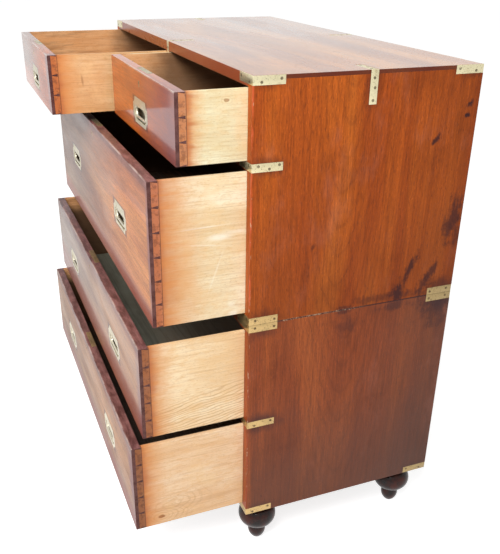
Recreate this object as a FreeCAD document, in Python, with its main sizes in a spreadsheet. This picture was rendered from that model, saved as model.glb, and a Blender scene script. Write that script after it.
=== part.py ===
import FreeCAD, Part
import os
import Sketcher

# Two-part campaign chest of drawers, millimetres, +Z up.
# The chest stands on four turned feet. A lower case holds two long drawers and
# an upper case, which lifts off, holds one deep drawer under two short ones.
# X runs along the width, the drawers open towards -Y. Z = 0 is the floor, and
# the origin is the middle of the floor area taken up with the drawers as drawn.

DOCUMENT = FreeCAD.newDocument("CampaignChest")

SIZES = {
    "The two cases": {
        "case_width": 990,
        "case_depth": 460,
        "lower_height": 467,
        "upper_height": 462,
        "side_thick": 20,
        "top_thick": 20,
        "board_thick": 18.5,
        "rail_thick": 17.5,
        "rail_depth": 60,
        "dust_thick": 10,
        "divider_thick": 18,
        "back_thick": 10,
        "deep_opening": 279.5,
        "bottom_opening": 208.5,
    },
    "Joints of the cases": {
        "corner_lap": 7,
        "housing_depth": 8,
        "divider_housing": 4,
        "back_rebate": 12,
        "back_boards": 3,
        "joint_wide": 1.5,
        "joint_deep": 2,
        "peg_radius": 6,
        "peg_grip": 12,
        "peg_drop": 12,
        "peg_play": 0.3,
        "peg_inset": 90,
    },
    "Turned feet": {
        "foot_height": 122,
        "foot_from_side": 56,
        "foot_from_front": 51,
        "collar_radius": 26,
        "collar_drop": 25,
        "bun_curve": 29.5,
        "bun_end_radius": 18,
        "bun_drop": 80.5,
        "tip_radius": 17.5,
        "tip_curve": 32,
        "tip_neck": 4,
        "flat_radius": 8,
        "tenon_radius": 13,
        "tenon_length": 16,
        "tenon_play": 0.1,
    },
    "Drawers": {
        "front_thick": 19,
        "front_lap": 7,
        "wall_thick": 9.5,
        "panel_thick": 7,
        "panel_rise": 6,
        "panel_groove": 4,
        "gap_beside": 1,
        "gap_above": 2.5,
        "gap_below": 0.5,
        "gap_behind": 12,
        "pin_wide": 6,
        "pin_tip": 1.5,
        "tails_short": 3,
        "tails_deep": 6,
        "tails_long": 5,
        "stop_length": 30,
        "stop_depth": 12,
        "stop_rise": 4.5,
        "stop_gap": 0.3,
        "stop_inset": 90,
    },
    "How far each drawer is pulled out": {
        "pull_short_left": 261,
        "pull_short_right": 128.5,
        "pull_deep": 181,
        "pull_middle": 212,
        "pull_bottom": 237,
    },
    "Brass straps let in flush": {
        "strap_width": 16,
        "strap_arm": 60,
        "strap_thick": 2,
    },
    "Recessed drawer handles": {
        "plate_width": 106,
        "plate_height": 50,
        "plate_thick": 2,
        "plate_notch": 12.5,
        "cup_width": 84,
        "cup_above": 8,
        "cup_below": 18,
        "cup_corner": 15,
        "cup_depth": 12,
        "cup_wall": 1.6,
        "inlay_gap": 0.1,
        "pivot_rise": 4,
        "pivot_depth": 3.2,
        "bail_span": 72,
        "bail_drop": 17,
        "bail_bend": 11,
        "bail_radius": 2.75,
        "eye_radius": 3.1,
        "eye_length": 6.4,
        "pin_radius": 1.75,
        "pin_play": 0.05,
        "pin_end_gap": 0.2,
        "handle_offset": 242,
        "handle_drop_short": 16,
        "handle_drop_deep": -1,
        "handle_drop_long": 7,
    },
    "Drawer locks": {
        "lock_width": 60,
        "lock_height": 44,
        "lock_depth": 12,
        "selvedge_width": 80,
        "selvedge_thick": 2,
        "bolt_width": 24,
        "bolt_thick": 6,
        "bolt_height": 30,
        "bolt_play": 0.2,
        "mortise_play": 1,
        "mortise_depth": 10,
        "key_drop": 22,
        "key_radius": 2.6,
        "key_slot": 1.1,
        "key_slot_drop": 7,
        "escutcheon_wall": 1.3,
        "escutcheon_depth": 3,
    },
}

DIMS = DOCUMENT.addObject("Spreadsheet::Sheet", "dims")
ROW = 1
for heading, values in SIZES.items():
    DIMS.set(f"A{ROW}", heading)
    ROW += 1
    for alias, value in values.items():
        DIMS.set(f"A{ROW}", alias)
        DIMS.set(f"B{ROW}", str(value))
        DIMS.setAlias(f"B{ROW}", alias)
        ROW += 1
DOCUMENT.recompute()

# ---------------------------------------------------------------- levels
# Places that several pieces share, written as expressions on the sheet.

FRONT = "(-(dims.case_depth - dims.pull_short_left) / 2)"
REAR = f"({FRONT} + dims.case_depth)"
HALF = "(dims.case_width / 2)"
INNER = f"({HALF} - dims.side_thick)"
IN_LAP = f"({HALF} - dims.corner_lap)"
IN_HOUSING = f"({INNER} + dims.housing_depth)"
BACKBOARD = f"({REAR} - dims.back_thick)"

BASE = "dims.foot_height"
SEAM = "(dims.foot_height + dims.lower_height)"
TOP = f"({SEAM} + dims.upper_height)"
LAP_LEVEL = f"({TOP} - dims.corner_lap)"

BOTTOM_FLOOR = f"({BASE} + dims.board_thick)"
BOTTOM_CEILING = f"({BOTTOM_FLOOR} + dims.bottom_opening)"
MIDDLE_FLOOR = f"({BOTTOM_CEILING} + dims.rail_thick)"
MIDDLE_CEILING = f"({SEAM} - dims.board_thick)"
DEEP_FLOOR = f"({SEAM} + dims.board_thick)"
DEEP_CEILING = f"({DEEP_FLOOR} + dims.deep_opening)"
SHORT_FLOOR = f"({DEEP_CEILING} + dims.rail_thick)"
SHORT_CEILING = f"({TOP} - dims.top_thick)"

LEFT, RIGHT = -1, 1
UPWARDS = FreeCAD.Vector(0, 0, 1)
BACKWARDS = FreeCAD.Vector(0, 1, 0)
FULL_TURN = 360
SAME_POINT = 1e-6


# ---------------------------------------------------------------- helpers


def number(expression):
    """The present value of an expression on the sheet, in millimetres."""
    value = DIMS.evalExpression(str(expression))
    return float(getattr(value, "Value", value))


def place(thing, x="0", y="0", z="0"):
    """Binds where an object's own origin stands."""
    for axis, expression in zip("xyz", (x, y, z)):
        thing.setExpression(f"Placement.Base.{axis}", expression)
    return thing


def slab(label, x, y, z):
    """A board between two levels along each axis."""
    box = DOCUMENT.addObject("Part::Box", "Board")
    box.Label = label
    for size, (low, high) in zip(("Length", "Width", "Height"), (x, y, z)):
        box.setExpression(size, f"({high}) - ({low})")
    return place(box, x[0], y[0], z[0])


def mirrored(side, low, high):
    """A span of X on the right, or its mirror image on the left."""
    if side == RIGHT:
        return (low, high)
    return (f"-({high})", f"-({low})")


def about(middle, half):
    """A span that reaches the same way to both sides of its middle."""
    return (f"({middle}) - ({half})", f"({middle}) + ({half})")


def fused(label, *pieces):
    """One piece out of several that overlap or touch."""
    whole = DOCUMENT.addObject("Part::MultiFuse", "Joined")
    whole.Label = label
    whole.Shapes = list(pieces)
    whole.Refine = True
    return whole


def group(label, pieces):
    """Pieces that stay apart but are handled together."""
    bundle = DOCUMENT.addObject("Part::Compound", "Group")
    bundle.Label = label
    bundle.Links = list(pieces)
    return bundle


def cut(label, base, *tools):
    """A piece with the room for its neighbours taken out."""
    for tool in tools:
        rest = DOCUMENT.addObject("Part::Cut", "Cut")
        rest.Label = f"{label}_before_{tool.Label}"
        rest.Base = base
        rest.Tool = tool
        base = rest
    base.Label = label
    return base


def rod(label, axis, radius, start, length):
    """A round bar along an axis from its starting point."""
    bar = DOCUMENT.addObject("Part::Cylinder", "Rod")
    bar.Label = label
    bar.setExpression("Radius", radius)
    bar.setExpression("Height", length)
    bar.Placement.Rotation = FreeCAD.Rotation(UPWARDS, axis)
    return place(bar, *start)


def new_body(label):
    """An empty PartDesign body."""
    body = DOCUMENT.addObject("PartDesign::Body", "Body")
    body.Label = label
    return body


def sketch_on(body, name, role):
    """A sketch on one of the body's own origin planes."""
    planes = [plane for plane in body.Origin.OriginFeatures if plane.Role == role]
    sketch = body.newObject("Sketcher::SketchObject", name)
    sketch.AttachmentSupport = [(planes[0], "")]
    sketch.MapMode = "FlatFace"
    return sketch


def constrain(sketch, kind, expression, *where):
    """A dimension of a sketch, bound to the sheet."""
    index = sketch.addConstraint(Sketcher.Constraint(kind, *where, number(expression)))
    sketch.setExpression(f"Constraints[{index}]", expression)


def circle(sketch, x, y, radius):
    """A circle by its centre and radius."""
    centre = FreeCAD.Vector(number(x), number(y), 0)
    geometry = Part.Circle(centre, FreeCAD.Vector(0, 0, 1), number(radius))
    index = sketch.addGeometry(geometry, False)
    constrain(sketch, "DistanceX", x, -1, 1, index, 3)
    constrain(sketch, "DistanceY", y, -1, 1, index, 3)
    constrain(sketch, "Radius", radius, index)


def arc_middle(start, end, radius, turn):
    """The point half way along the shorter arc; turn is +1 to bulge right of the way walked."""
    chord = end - start
    middle = (start + end) * 0.5
    right = FreeCAD.Vector(chord.y, -chord.x, 0).normalize()
    to_centre = max(radius**2 - (chord.Length / 2) ** 2, 0) ** 0.5
    return middle + right * turn * (radius - to_centre)


def outline(sketch, corners, closed=True):
    """Lines and arcs through corners (x, y) or (x, y, radius, turn); the arc leads to the next."""
    points = [FreeCAD.Vector(number(corner[0]), number(corner[1]), 0) for corner in corners]
    count = len(corners)
    edges = []
    for index in range(count if closed else count - 1):
        start, end = points[index], points[(index + 1) % count]
        if len(corners[index]) == 4:
            radius, turn = corners[index][2:]
            middle = arc_middle(start, end, number(radius), turn)
            geometry = Part.Arc(start, middle, end)
        else:
            geometry = Part.LineSegment(start, end)
        edges.append(sketch.addGeometry(geometry, False))
    ends = []
    for index, edge in enumerate(edges):
        first = 1 if (sketch.getPoint(edge, 1) - points[index]).Length < SAME_POINT else 2
        ends.append((first, 3 - first))
    for index, edge in enumerate(edges):
        following = (index + 1) % len(edges)
        if closed or following:
            join = (edge, ends[index][1], edges[following], ends[following][0])
            sketch.addConstraint(Sketcher.Constraint("Coincident", *join))
        constrain(sketch, "DistanceX", corners[index][0], -1, 1, edge, ends[index][0])
        constrain(sketch, "DistanceY", corners[index][1], -1, 1, edge, ends[index][0])
        if len(corners[index]) == 4:
            constrain(sketch, "Radius", corners[index][2], edge)
    if not closed:
        constrain(sketch, "DistanceX", corners[-1][0], -1, 1, edges[-1], ends[-1][1])
        constrain(sketch, "DistanceY", corners[-1][1], -1, 1, edges[-1], ends[-1][1])


def pad(body, name, sketch, length, reverse=False):
    """Thickens a sketch."""
    feature = body.newObject("PartDesign::Pad", name)
    feature.Profile = sketch
    feature.Reversed = reverse
    feature.setExpression("Length", length)
    return feature


def pocket(body, name, sketch, length):
    """Sinks a sketch into the body."""
    feature = body.newObject("PartDesign::Pocket", name)
    feature.Profile = sketch
    feature.setExpression("Length", length)
    return feature


# ---------------------------------------------------------------- brass straps


def corner_strap(label, side, y_edge, low, high):
    """An angle round an upright corner: one arm on the side, one on the front or the back."""
    at_front = y_edge == FRONT
    arm_y = (FRONT, f"{FRONT} + dims.strap_arm") if at_front else (f"{REAR} - dims.strap_arm", REAR)
    skin_y = (FRONT, f"{FRONT} + dims.strap_thick") if at_front else (f"{REAR} - dims.strap_thick", REAR)
    side_arm = slab(f"{label}_side_arm", mirrored(side, f"{HALF} - dims.strap_thick", HALF), arm_y,
                    (low, high))
    face_arm = slab(f"{label}_face_arm", mirrored(side, f"{HALF} - dims.strap_arm", HALF), skin_y,
                    (low, high))
    return fused(label, side_arm, face_arm)


def side_top_strap(label, side):
    """The strap over the middle of a side: down the side and in along the top."""
    across = about(f"{FRONT} + dims.case_depth / 2", "dims.strap_width / 2")
    down = slab(f"{label}_down", mirrored(side, f"{HALF} - dims.strap_thick", HALF), across,
                (f"{TOP} - dims.strap_arm", TOP))
    along = slab(f"{label}_along", mirrored(side, f"{HALF} - dims.strap_arm", HALF), across,
                 (f"{TOP} - dims.strap_thick", TOP))
    return fused(label, down, along)


def middle_top_strap(label, y_edge):
    """The strap over the middle of the front or back edge of the top."""
    at_front = y_edge == FRONT
    arm_y = (FRONT, f"{FRONT} + dims.strap_arm") if at_front else (f"{REAR} - dims.strap_arm", REAR)
    skin_y = (FRONT, f"{FRONT} + dims.strap_thick") if at_front else (f"{REAR} - dims.strap_thick", REAR)
    across = about("0", "dims.strap_width / 2")
    down = slab(f"{label}_down", across, skin_y, (f"{TOP} - dims.strap_arm", TOP))
    along = slab(f"{label}_along", across, arm_y, (f"{TOP} - dims.strap_thick", TOP))
    return fused(label, down, along)


def corner_straps(case, place_name, edges, low, high):
    """The same corner strap left and right, at each of the edges named."""
    straps = []
    for side, side_name in ((LEFT, "left"), (RIGHT, "right")):
        for y_edge, edge_name in edges:
            label = f"{case}_{place_name}_strap_{edge_name}_{side_name}"
            straps.append(corner_strap(label, side, y_edge, low, high))
    return straps


BOTH_EDGES = ((FRONT, "front"), (REAR, "rear"))
FRONT_EDGE = ((FRONT, "front"),)


def rail_straps(case, floor):
    """Straps on the front corners, level with the rail under a drawer opening."""
    low, high = about(f"{floor} - dims.rail_thick / 2", "dims.strap_width / 2")
    return corner_straps(case, "rail", FRONT_EDGE, low, high)


def upper_brass():
    """All straps of the upper case."""
    straps = corner_straps("upper", "top", BOTH_EDGES, f"{TOP} - dims.strap_width", TOP)
    straps += rail_straps("upper", SHORT_FLOOR)
    straps += corner_straps("upper", "seam", BOTH_EDGES, SEAM, f"{SEAM} + dims.strap_width")
    straps += [side_top_strap("side_strap_left", LEFT), side_top_strap("side_strap_right", RIGHT)]
    straps += [middle_top_strap("middle_strap_front", FRONT), middle_top_strap("middle_strap_rear", REAR)]
    return group("upper_straps", straps)


def lower_brass():
    """All straps of the lower case."""
    straps = corner_straps("lower", "seam", BOTH_EDGES, f"{SEAM} - dims.strap_width", SEAM)
    straps += rail_straps("lower", MIDDLE_FLOOR)
    straps += corner_straps("lower", "base", BOTH_EDGES, BASE, f"{BASE} + dims.strap_width")
    return group("lower_straps", straps)


# ---------------------------------------------------------------- lock bolts' mortises


def bolt_mortise(label, middle, ceiling):
    """The slot in the board over a drawer that the shot bolt enters."""
    lock_y = f"{FRONT} + dims.front_thick - dims.lock_depth / 2"
    return slab(label,
                about(middle, "dims.bolt_width / 2 + dims.mortise_play"),
                about(lock_y, "dims.bolt_thick / 2 + dims.mortise_play"),
                (ceiling, f"{ceiling} + dims.mortise_depth"))


# ---------------------------------------------------------------- drawer stops


def stops(name, floor, left_edge, right_edge):
    """Two glued blocks that the closed drawer's front comes up against."""
    start = f"{FRONT} + dims.front_thick + dims.stop_gap"
    blocks = []
    for end, low in (("left", f"{left_edge} + dims.stop_inset"),
                     ("right", f"{right_edge} - dims.stop_inset - dims.stop_length")):
        blocks.append(slab(f"{name}_stop_{end}", (low, f"{low} + dims.stop_length"),
                           (start, f"{start} + dims.stop_depth"), (floor, f"{floor} + dims.stop_rise")))
    return blocks


# ---------------------------------------------------------------- the cases

NODES = {}


def keep(thing):
    """Marks an object as one of the chest's sub-parts."""
    NODES[thing.Label] = thing
    return thing


def case_side(case, side, side_name, low, high, boards, straps):
    """An upright side, housed for every board that meets it."""
    blank = slab(f"{case}_side_{side_name}_blank", mirrored(side, INNER, HALF), (FRONT, REAR), (low, high))
    return keep(cut(f"{case}_side_{side_name}", blank, *boards, straps))


def board_joints(label, low, high):
    """The open joints on the outside of a back, where its boards meet."""
    joints = []
    for index in range(1, int(number("dims.back_boards"))):
        level = f"({low} + ({high} - {low}) * {index} / dims.back_boards)"
        joints.append(slab(f"{label}_{index}", (f"-{HALF}", HALF), (f"{REAR} - dims.joint_deep", REAR),
                           (level, f"{level} + dims.joint_wide")))
    return group(label, joints)


def peg(label, side, y_place):
    """A turned peg glued into the upper case that drops into the lower one."""
    x_place = f"{side} * ({HALF} - dims.peg_inset)"
    return rod(label, UPWARDS, "dims.peg_radius", (x_place, y_place, f"{SEAM} - dims.peg_drop"),
               "dims.peg_drop + dims.peg_grip")


def peg_hole(label, side, y_place):
    """The hole in the lower case's top for one peg."""
    x_place = f"{side} * ({HALF} - dims.peg_inset)"
    return rod(label, UPWARDS, "dims.peg_radius + dims.peg_play",
               (x_place, y_place, f"{SEAM} - dims.peg_drop - dims.peg_play"), "dims.peg_drop + dims.peg_play")


PEG_PLACES = [(side, y_place)
              for side in (LEFT, RIGHT)
              for y_place in (f"{FRONT} + dims.peg_inset", f"{REAR} - dims.peg_inset")]


def foot(label, side, y_place):
    """A turned foot: tenon, collar, bun and a small rounded tip."""
    body = new_body(label)
    profile = sketch_on(body, "FootProfile", "XZ_Plane")
    tip_top = "-(dims.bun_drop + dims.tip_neck)"
    outline(profile, [
        ("0", "dims.tenon_length"),
        ("dims.tenon_radius", "dims.tenon_length"),
        ("dims.tenon_radius", "0"),
        ("dims.collar_radius", "0"),
        ("dims.collar_radius", "-dims.collar_drop", "dims.bun_curve", -1),
        ("dims.bun_end_radius", "-dims.bun_drop"),
        ("dims.tip_radius", tip_top, "dims.tip_curve", -1),
        ("dims.flat_radius", "-dims.foot_height"),
        ("0", "-dims.foot_height"),
    ])
    turning = body.newObject("PartDesign::Revolution", "Turning")
    turning.Profile = profile
    turning.ReferenceAxis = (profile, ["V_Axis"])
    turning.Angle = FULL_TURN
    return keep(place(body, f"{side} * ({HALF} - dims.foot_from_side)", y_place, BASE))


FOOT_PLACES = [(side, side_name, y_place, edge_name)
               for side, side_name in ((LEFT, "left"), (RIGHT, "right"))
               for y_place, edge_name in ((f"{FRONT} + dims.foot_from_front", "front"),
                                          (f"{REAR} - dims.foot_from_front", "rear"))]


def lower_case(straps):
    """The carcass with the two long drawers, and its feet."""
    depth = (FRONT, BACKBOARD)
    full = (f"-({IN_LAP})", IN_LAP)
    housed = (f"-({IN_HOUSING})", IN_HOUSING)
    top = slab("lower_top_blank", full, depth, (MIDDLE_CEILING, SEAM))
    bottom = slab("lower_bottom_blank", full, depth, (BASE, BOTTOM_FLOOR))
    rail = slab("lower_rail_blank", housed, (FRONT, f"{FRONT} + dims.rail_depth"),
                (BOTTOM_CEILING, MIDDLE_FLOOR))
    dust = slab("lower_dustboard", housed, (f"{FRONT} + dims.rail_depth", BACKBOARD),
                (f"{MIDDLE_FLOOR} - dims.dust_thick", MIDDLE_FLOOR))
    back = slab("lower_back_blank", about("0", f"{INNER} + dims.back_rebate"), (BACKBOARD, REAR),
                (BASE, SEAM))

    peg_holes = [peg_hole(f"peg_hole_{index}", *where) for index, where in enumerate(PEG_PLACES)]
    keep(cut("lower_top", top, straps, group("peg_holes", peg_holes),
             bolt_mortise("middle_bolt_mortise", "0", MIDDLE_CEILING)))
    tenon_holes = [rod(f"tenon_hole_{edge_name}_{side_name}", UPWARDS,
                       "dims.tenon_radius + dims.tenon_play",
                       (f"{side} * ({HALF} - dims.foot_from_side)", y_place, BASE),
                       "dims.tenon_length + dims.tenon_play")
                   for side, side_name, y_place, edge_name in FOOT_PLACES]
    floor = cut("lower_bottom_board", bottom, straps, group("tenon_holes", tenon_holes))
    keep(group("lower_bottom", [floor] + stops("bottom", BOTTOM_FLOOR, f"-{INNER}", INNER)))
    bearer = cut("lower_rail_board", rail, straps,
                 bolt_mortise("bottom_bolt_mortise", "0", BOTTOM_CEILING))
    keep(group("lower_rail", [bearer] + stops("middle", MIDDLE_FLOOR, f"-{INNER}", INNER)))
    keep(dust)
    keep(cut("lower_back", back, straps, board_joints("lower_back_joints", BASE, SEAM)))
    for side, side_name in ((LEFT, "left"), (RIGHT, "right")):
        case_side("lower", side, side_name, BASE, SEAM, (top, bottom, rail, dust, back), straps)
    for side, side_name, y_place, edge_name in FOOT_PLACES:
        foot(f"foot_{edge_name}_{side_name}", side, y_place)
    keep(straps)


def upper_case(straps):
    """The carcass with the deep drawer and the two short ones."""
    depth = (FRONT, BACKBOARD)
    housed = (f"-({IN_HOUSING})", IN_HOUSING)
    top = slab("upper_top_blank", (f"-{HALF}", HALF), (FRONT, REAR), (SHORT_CEILING, TOP))
    bottom = slab("upper_bottom_blank", (f"-({IN_LAP})", IN_LAP), depth, (SEAM, DEEP_FLOOR))
    rail = slab("upper_rail_blank", housed, (FRONT, f"{FRONT} + dims.rail_depth"),
                (DEEP_CEILING, SHORT_FLOOR))
    dust = slab("upper_dustboard_blank", housed, (f"{FRONT} + dims.rail_depth", BACKBOARD),
                (f"{SHORT_FLOOR} - dims.dust_thick", SHORT_FLOOR))
    back = slab("upper_back_blank", about("0", f"{INNER} + dims.back_rebate"), (BACKBOARD, REAR),
                (SEAM, LAP_LEVEL))
    divider = slab("upper_divider_blank", about("0", "dims.divider_thick / 2"), depth,
                   (f"{SHORT_FLOOR} - dims.divider_housing", f"{SHORT_CEILING} + dims.divider_housing"))
    side_blanks = [slab(f"upper_{name}_tenon", mirrored(side, INNER, HALF), (FRONT, REAR), (SEAM, LAP_LEVEL))
                   for side, name in ((LEFT, "left"), (RIGHT, "right"))]
    short_middle = f"(dims.divider_thick / 2 + {INNER}) / 2"
    bolt_slots = [bolt_mortise(f"short_{name}_bolt_mortise", f"{side} * {short_middle}", SHORT_CEILING)
                  for side, name in ((LEFT, "left"), (RIGHT, "right"))]

    keep(cut("upper_top", top, group("upper_side_tenons", side_blanks), back, divider, straps,
             group("short_bolt_mortises", bolt_slots)))
    pegs = [peg(f"peg_{index}", *where) for index, where in enumerate(PEG_PLACES)]
    peg_group = keep(group("locating_pegs", pegs))
    floor = cut("upper_bottom_board", bottom, straps, peg_group)
    keep(group("upper_bottom", [floor] + stops("deep", DEEP_FLOOR, f"-{INNER}", INNER)))
    bearer = cut("upper_rail_board", rail, straps, divider,
                 bolt_mortise("deep_bolt_mortise", "0", DEEP_CEILING))
    edge = "dims.divider_thick / 2"
    short_stops = stops("short_left", SHORT_FLOOR, f"-{INNER}", f"-({edge})")
    short_stops += stops("short_right", SHORT_FLOOR, edge, INNER)
    keep(group("upper_rail", [bearer] + short_stops))
    keep(cut("upper_dustboard", dust, divider))
    keep(cut("upper_divider", divider, straps))
    keep(cut("upper_back", back, straps, board_joints("upper_back_joints", SEAM, LAP_LEVEL)))
    for side, side_name in ((LEFT, "left"), (RIGHT, "right")):
        case_side("upper", side, side_name, SEAM, LAP_LEVEL, (bottom, rail, dust, back), straps)
    keep(straps)


# ---------------------------------------------------------------- handles
# Each handle is drawn about the middle of its plate: X across, Y into the wood
# from the drawer's face, Z up.


def plate_outline(sketch, grow):
    """A rectangle whose corners are scooped out by quarter circles."""
    x_side = f"(dims.plate_width / 2 + {grow})"
    z_top = f"(dims.plate_height / 2 + {grow})"
    x_in = f"({x_side} - dims.plate_notch)"
    z_in = f"({z_top} - dims.plate_notch)"
    scoop = f"(dims.plate_notch - {grow})"
    outline(sketch, [
        (f"-{x_in}", z_top),
        (x_in, z_top, scoop, 1),
        (x_side, z_in),
        (x_side, f"-{z_in}", scoop, 1),
        (x_in, f"-{z_top}"),
        (f"-{x_in}", f"-{z_top}", scoop, 1),
        (f"-{x_side}", f"-{z_in}"),
        (f"-{x_side}", z_in, scoop, 1),
    ])


def cup_outline(sketch, grow):
    """The recess: straight on top, with large round lower corners."""
    half = f"(dims.cup_width / 2 + {grow})"
    top = f"(dims.cup_above + {grow})"
    low = f"(dims.cup_below + {grow})"
    corner = f"(dims.cup_corner + {grow})"
    outline(sketch, [
        (f"-{half}", top),
        (half, top),
        (half, f"{corner} - {low}", corner, -1),
        (f"{half} - {corner}", f"-{low}"),
        (f"{corner} - {half}", f"-{low}", corner, -1),
        (f"-{half}", f"{corner} - {low}"),
    ])


def handle_block(label, grow, where):
    """The plate with its cup as a solid block, each face moved out by grow."""
    body = new_body(label)
    face = sketch_on(body, "PlateOutline", "XZ_Plane")
    plate_outline(face, grow)
    pad(body, "Plate", face, f"dims.plate_thick + {grow}", reverse=True)
    shell = sketch_on(body, "CupShell", "XZ_Plane")
    cup_outline(shell, f"(dims.cup_wall + {grow})")
    pad(body, "Cup", shell, f"dims.cup_depth + {grow}", reverse=True)
    return place(body, *where)


def handle_plate(label, where):
    """The brass plate with its sunk cup and the holes for the bail's pins."""
    body = handle_block(label, "0", where)
    hollow = sketch_on(body, "CupHollow", "XZ_Plane")
    cup_outline(hollow, "0")
    pocket(body, "Recess", hollow, "dims.cup_depth - dims.cup_wall")
    bore = sketch_on(body, "PinBore", "YZ_Plane")
    circle(bore, "dims.pivot_depth", "dims.pivot_rise", "dims.pin_radius + dims.pin_play")
    holes = pocket(body, "PinHoles", bore, "dims.plate_width")
    holes.Midplane = True
    return body


def bail(label, where):
    """The swing handle, about its pivot: a bent bar with an eye and a pin at each end."""
    body = new_body(label)
    half, drop, bend = "(dims.bail_span / 2)", "dims.bail_drop", "dims.bail_bend"
    spine = sketch_on(body, "BailLine", "XZ_Plane")
    outline(spine, [
        (f"-{half}", "0"),
        (f"-{half}", f"{bend} - {drop}", bend, 1),
        (f"{bend} - {half}", f"-{drop}"),
        (f"{half} - {bend}", f"-{drop}", bend, 1),
        (half, f"{bend} - {drop}"),
        (half, "0"),
    ], closed=False)
    section = sketch_on(body, "BailSection", "XY_Plane")
    circle(section, f"-{half}", "0", "dims.bail_radius")
    grip = body.newObject("PartDesign::AdditivePipe", "Grip")
    grip.Profile = section
    grip.Spine = (spine, [f"Edge{index + 1}" for index in range(spine.GeometryCount)])
    pin_length = f"dims.cup_width / 2 + dims.cup_wall - dims.pin_end_gap - {half}"
    for end, end_name in ((LEFT, "Left"), (RIGHT, "Right")):
        eye = sketch_on(body, f"EyeSection{end_name}", "YZ_Plane")
        circle(eye, "0", "0", "dims.eye_radius")
        eye.setExpression("AttachmentOffset.Base.z", f"{end} * {half} - dims.eye_length / 2")
        pad(body, f"Eye{end_name}", eye, "dims.eye_length")
        pin = sketch_on(body, f"PinSection{end_name}", "YZ_Plane")
        circle(pin, "0", "0", "dims.pin_radius")
        pin.setExpression("AttachmentOffset.Base.z", f"{end} * {half}")
        pad(body, f"Pin{end_name}", pin, pin_length, reverse=end == LEFT)
    x_place, y_place, z_place = where
    return place(body, x_place, f"{y_place} + dims.pivot_depth", f"{z_place} + dims.pivot_rise")


# ---------------------------------------------------------------- locks


def keyhole(label, middle, y_span, level, grow):
    """A keyhole's outline, made as deep as y_span says."""
    barrel = rod(f"{label}_barrel", BACKWARDS, f"dims.key_radius + {grow}", (middle, y_span[0], level),
                 f"({y_span[1]}) - ({y_span[0]})")
    slot = slab(f"{label}_slot", about(middle, f"dims.key_slot + {grow}"), y_span,
                (f"{level} - dims.key_slot_drop - {grow}", level))
    return fused(label, barrel, slot)


def lock_parts(name, middle, face, upper_edge):
    """The lock let into the back of a front, its bolt and keyhole lining; gives the room they need."""
    inside = f"{face} + dims.front_thick"
    lock_y = (f"{inside} - dims.lock_depth", inside)
    slot_y = f"{inside} - dims.lock_depth / 2"
    level = f"{upper_edge} - dims.key_drop"
    housing = fused(
        f"{name}_lock_block",
        slab(f"{name}_lock_case", about(middle, "dims.lock_width / 2"), lock_y,
             (f"{upper_edge} - dims.lock_height", upper_edge)),
        slab(f"{name}_selvedge", about(middle, "dims.selvedge_width / 2"), lock_y,
             (f"{upper_edge} - dims.selvedge_thick", upper_edge)))
    slot = slab(f"{name}_bolt_slot", about(middle, "dims.bolt_width / 2 + dims.bolt_play"),
                about(slot_y, "dims.bolt_thick / 2 + dims.bolt_play"),
                (f"{upper_edge} - dims.bolt_height - dims.bolt_play", upper_edge))
    through = keyhole(f"{name}_keyhole", middle, (face, slot_y), level, "0")
    rim_hole = keyhole(f"{name}_rim_hole", middle, (face, f"{face} + dims.escutcheon_depth"), level,
                       "dims.escutcheon_wall")
    rim = cut(f"{name}_escutcheon", rim_hole, through)
    case = cut(f"{name}_lock_with_slot", housing, slot, through)
    bolt = slab(f"{name}_lock_bolt", about(middle, "dims.bolt_width / 2"),
                about(slot_y, "dims.bolt_thick / 2"), (f"{upper_edge} - dims.bolt_height", upper_edge))
    keep(group(f"{name}_lock", [case, rim]))
    keep(bolt)
    return housing, rim_hole, through


# ---------------------------------------------------------------- drawers
# A drawer's own pieces are drawn from its lower front left corner.


def tail_outline(sketch, shoulder, tip, low, pitch):
    """One dovetail, wider at its tip; it reaches one wall behind its shoulder into the board."""
    slope = "(dims.pin_wide - dims.pin_tip) / 2"
    outline(sketch, [
        (shoulder, f"{low} + dims.pin_tip / 2 + {slope}"),
        (tip, f"{low} + dims.pin_tip / 2"),
        (tip, f"{low} + {pitch} - dims.pin_tip / 2"),
        (shoulder, f"{low} + {pitch} - dims.pin_tip / 2 - {slope}"),
    ])


def tails(body, name, board, shoulder, tip, low, height, count):
    """A row of dovetails up one end of a drawer side."""
    pitch = f"(({height}) / {count})"
    shape = sketch_on(body, f"{name}Outline", "YZ_Plane")
    tail_outline(shape, shoulder, tip, low, pitch)
    first = pad(body, f"{name}First", shape, "dims.wall_thick")
    row = body.newObject("PartDesign::LinearPattern", f"{name}Row")
    row.Originals = [first]
    row.Direction = (board, ["V_Axis"])
    row.setExpression("Length", f"({height}) - {pitch}")
    row.setExpression("Occurrences", count)
    body.Tip = row


def drawer_side(label, where, height, run, count):
    """A pine side: lapped dovetails into the front, through dovetails into the back."""
    body = new_body(label)
    neck = "dims.front_thick"
    back_neck = f"({run} - dims.wall_thick)"
    ledge = "(dims.panel_rise + dims.panel_thick)"
    board = sketch_on(body, "SideOutline", "YZ_Plane")
    outline(board, [
        (neck, "0"),
        (run, "0"),
        (run, ledge),
        (back_neck, ledge),
        (back_neck, height),
        (neck, height),
    ])
    pad(body, "Side", board, "dims.wall_thick")
    tails(body, "Front", board, neck, "dims.front_lap", "0", height, count)
    tails(body, "Rear", board, back_neck, run, ledge, f"{height} - {ledge}", count)
    return place(body, *where)


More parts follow.
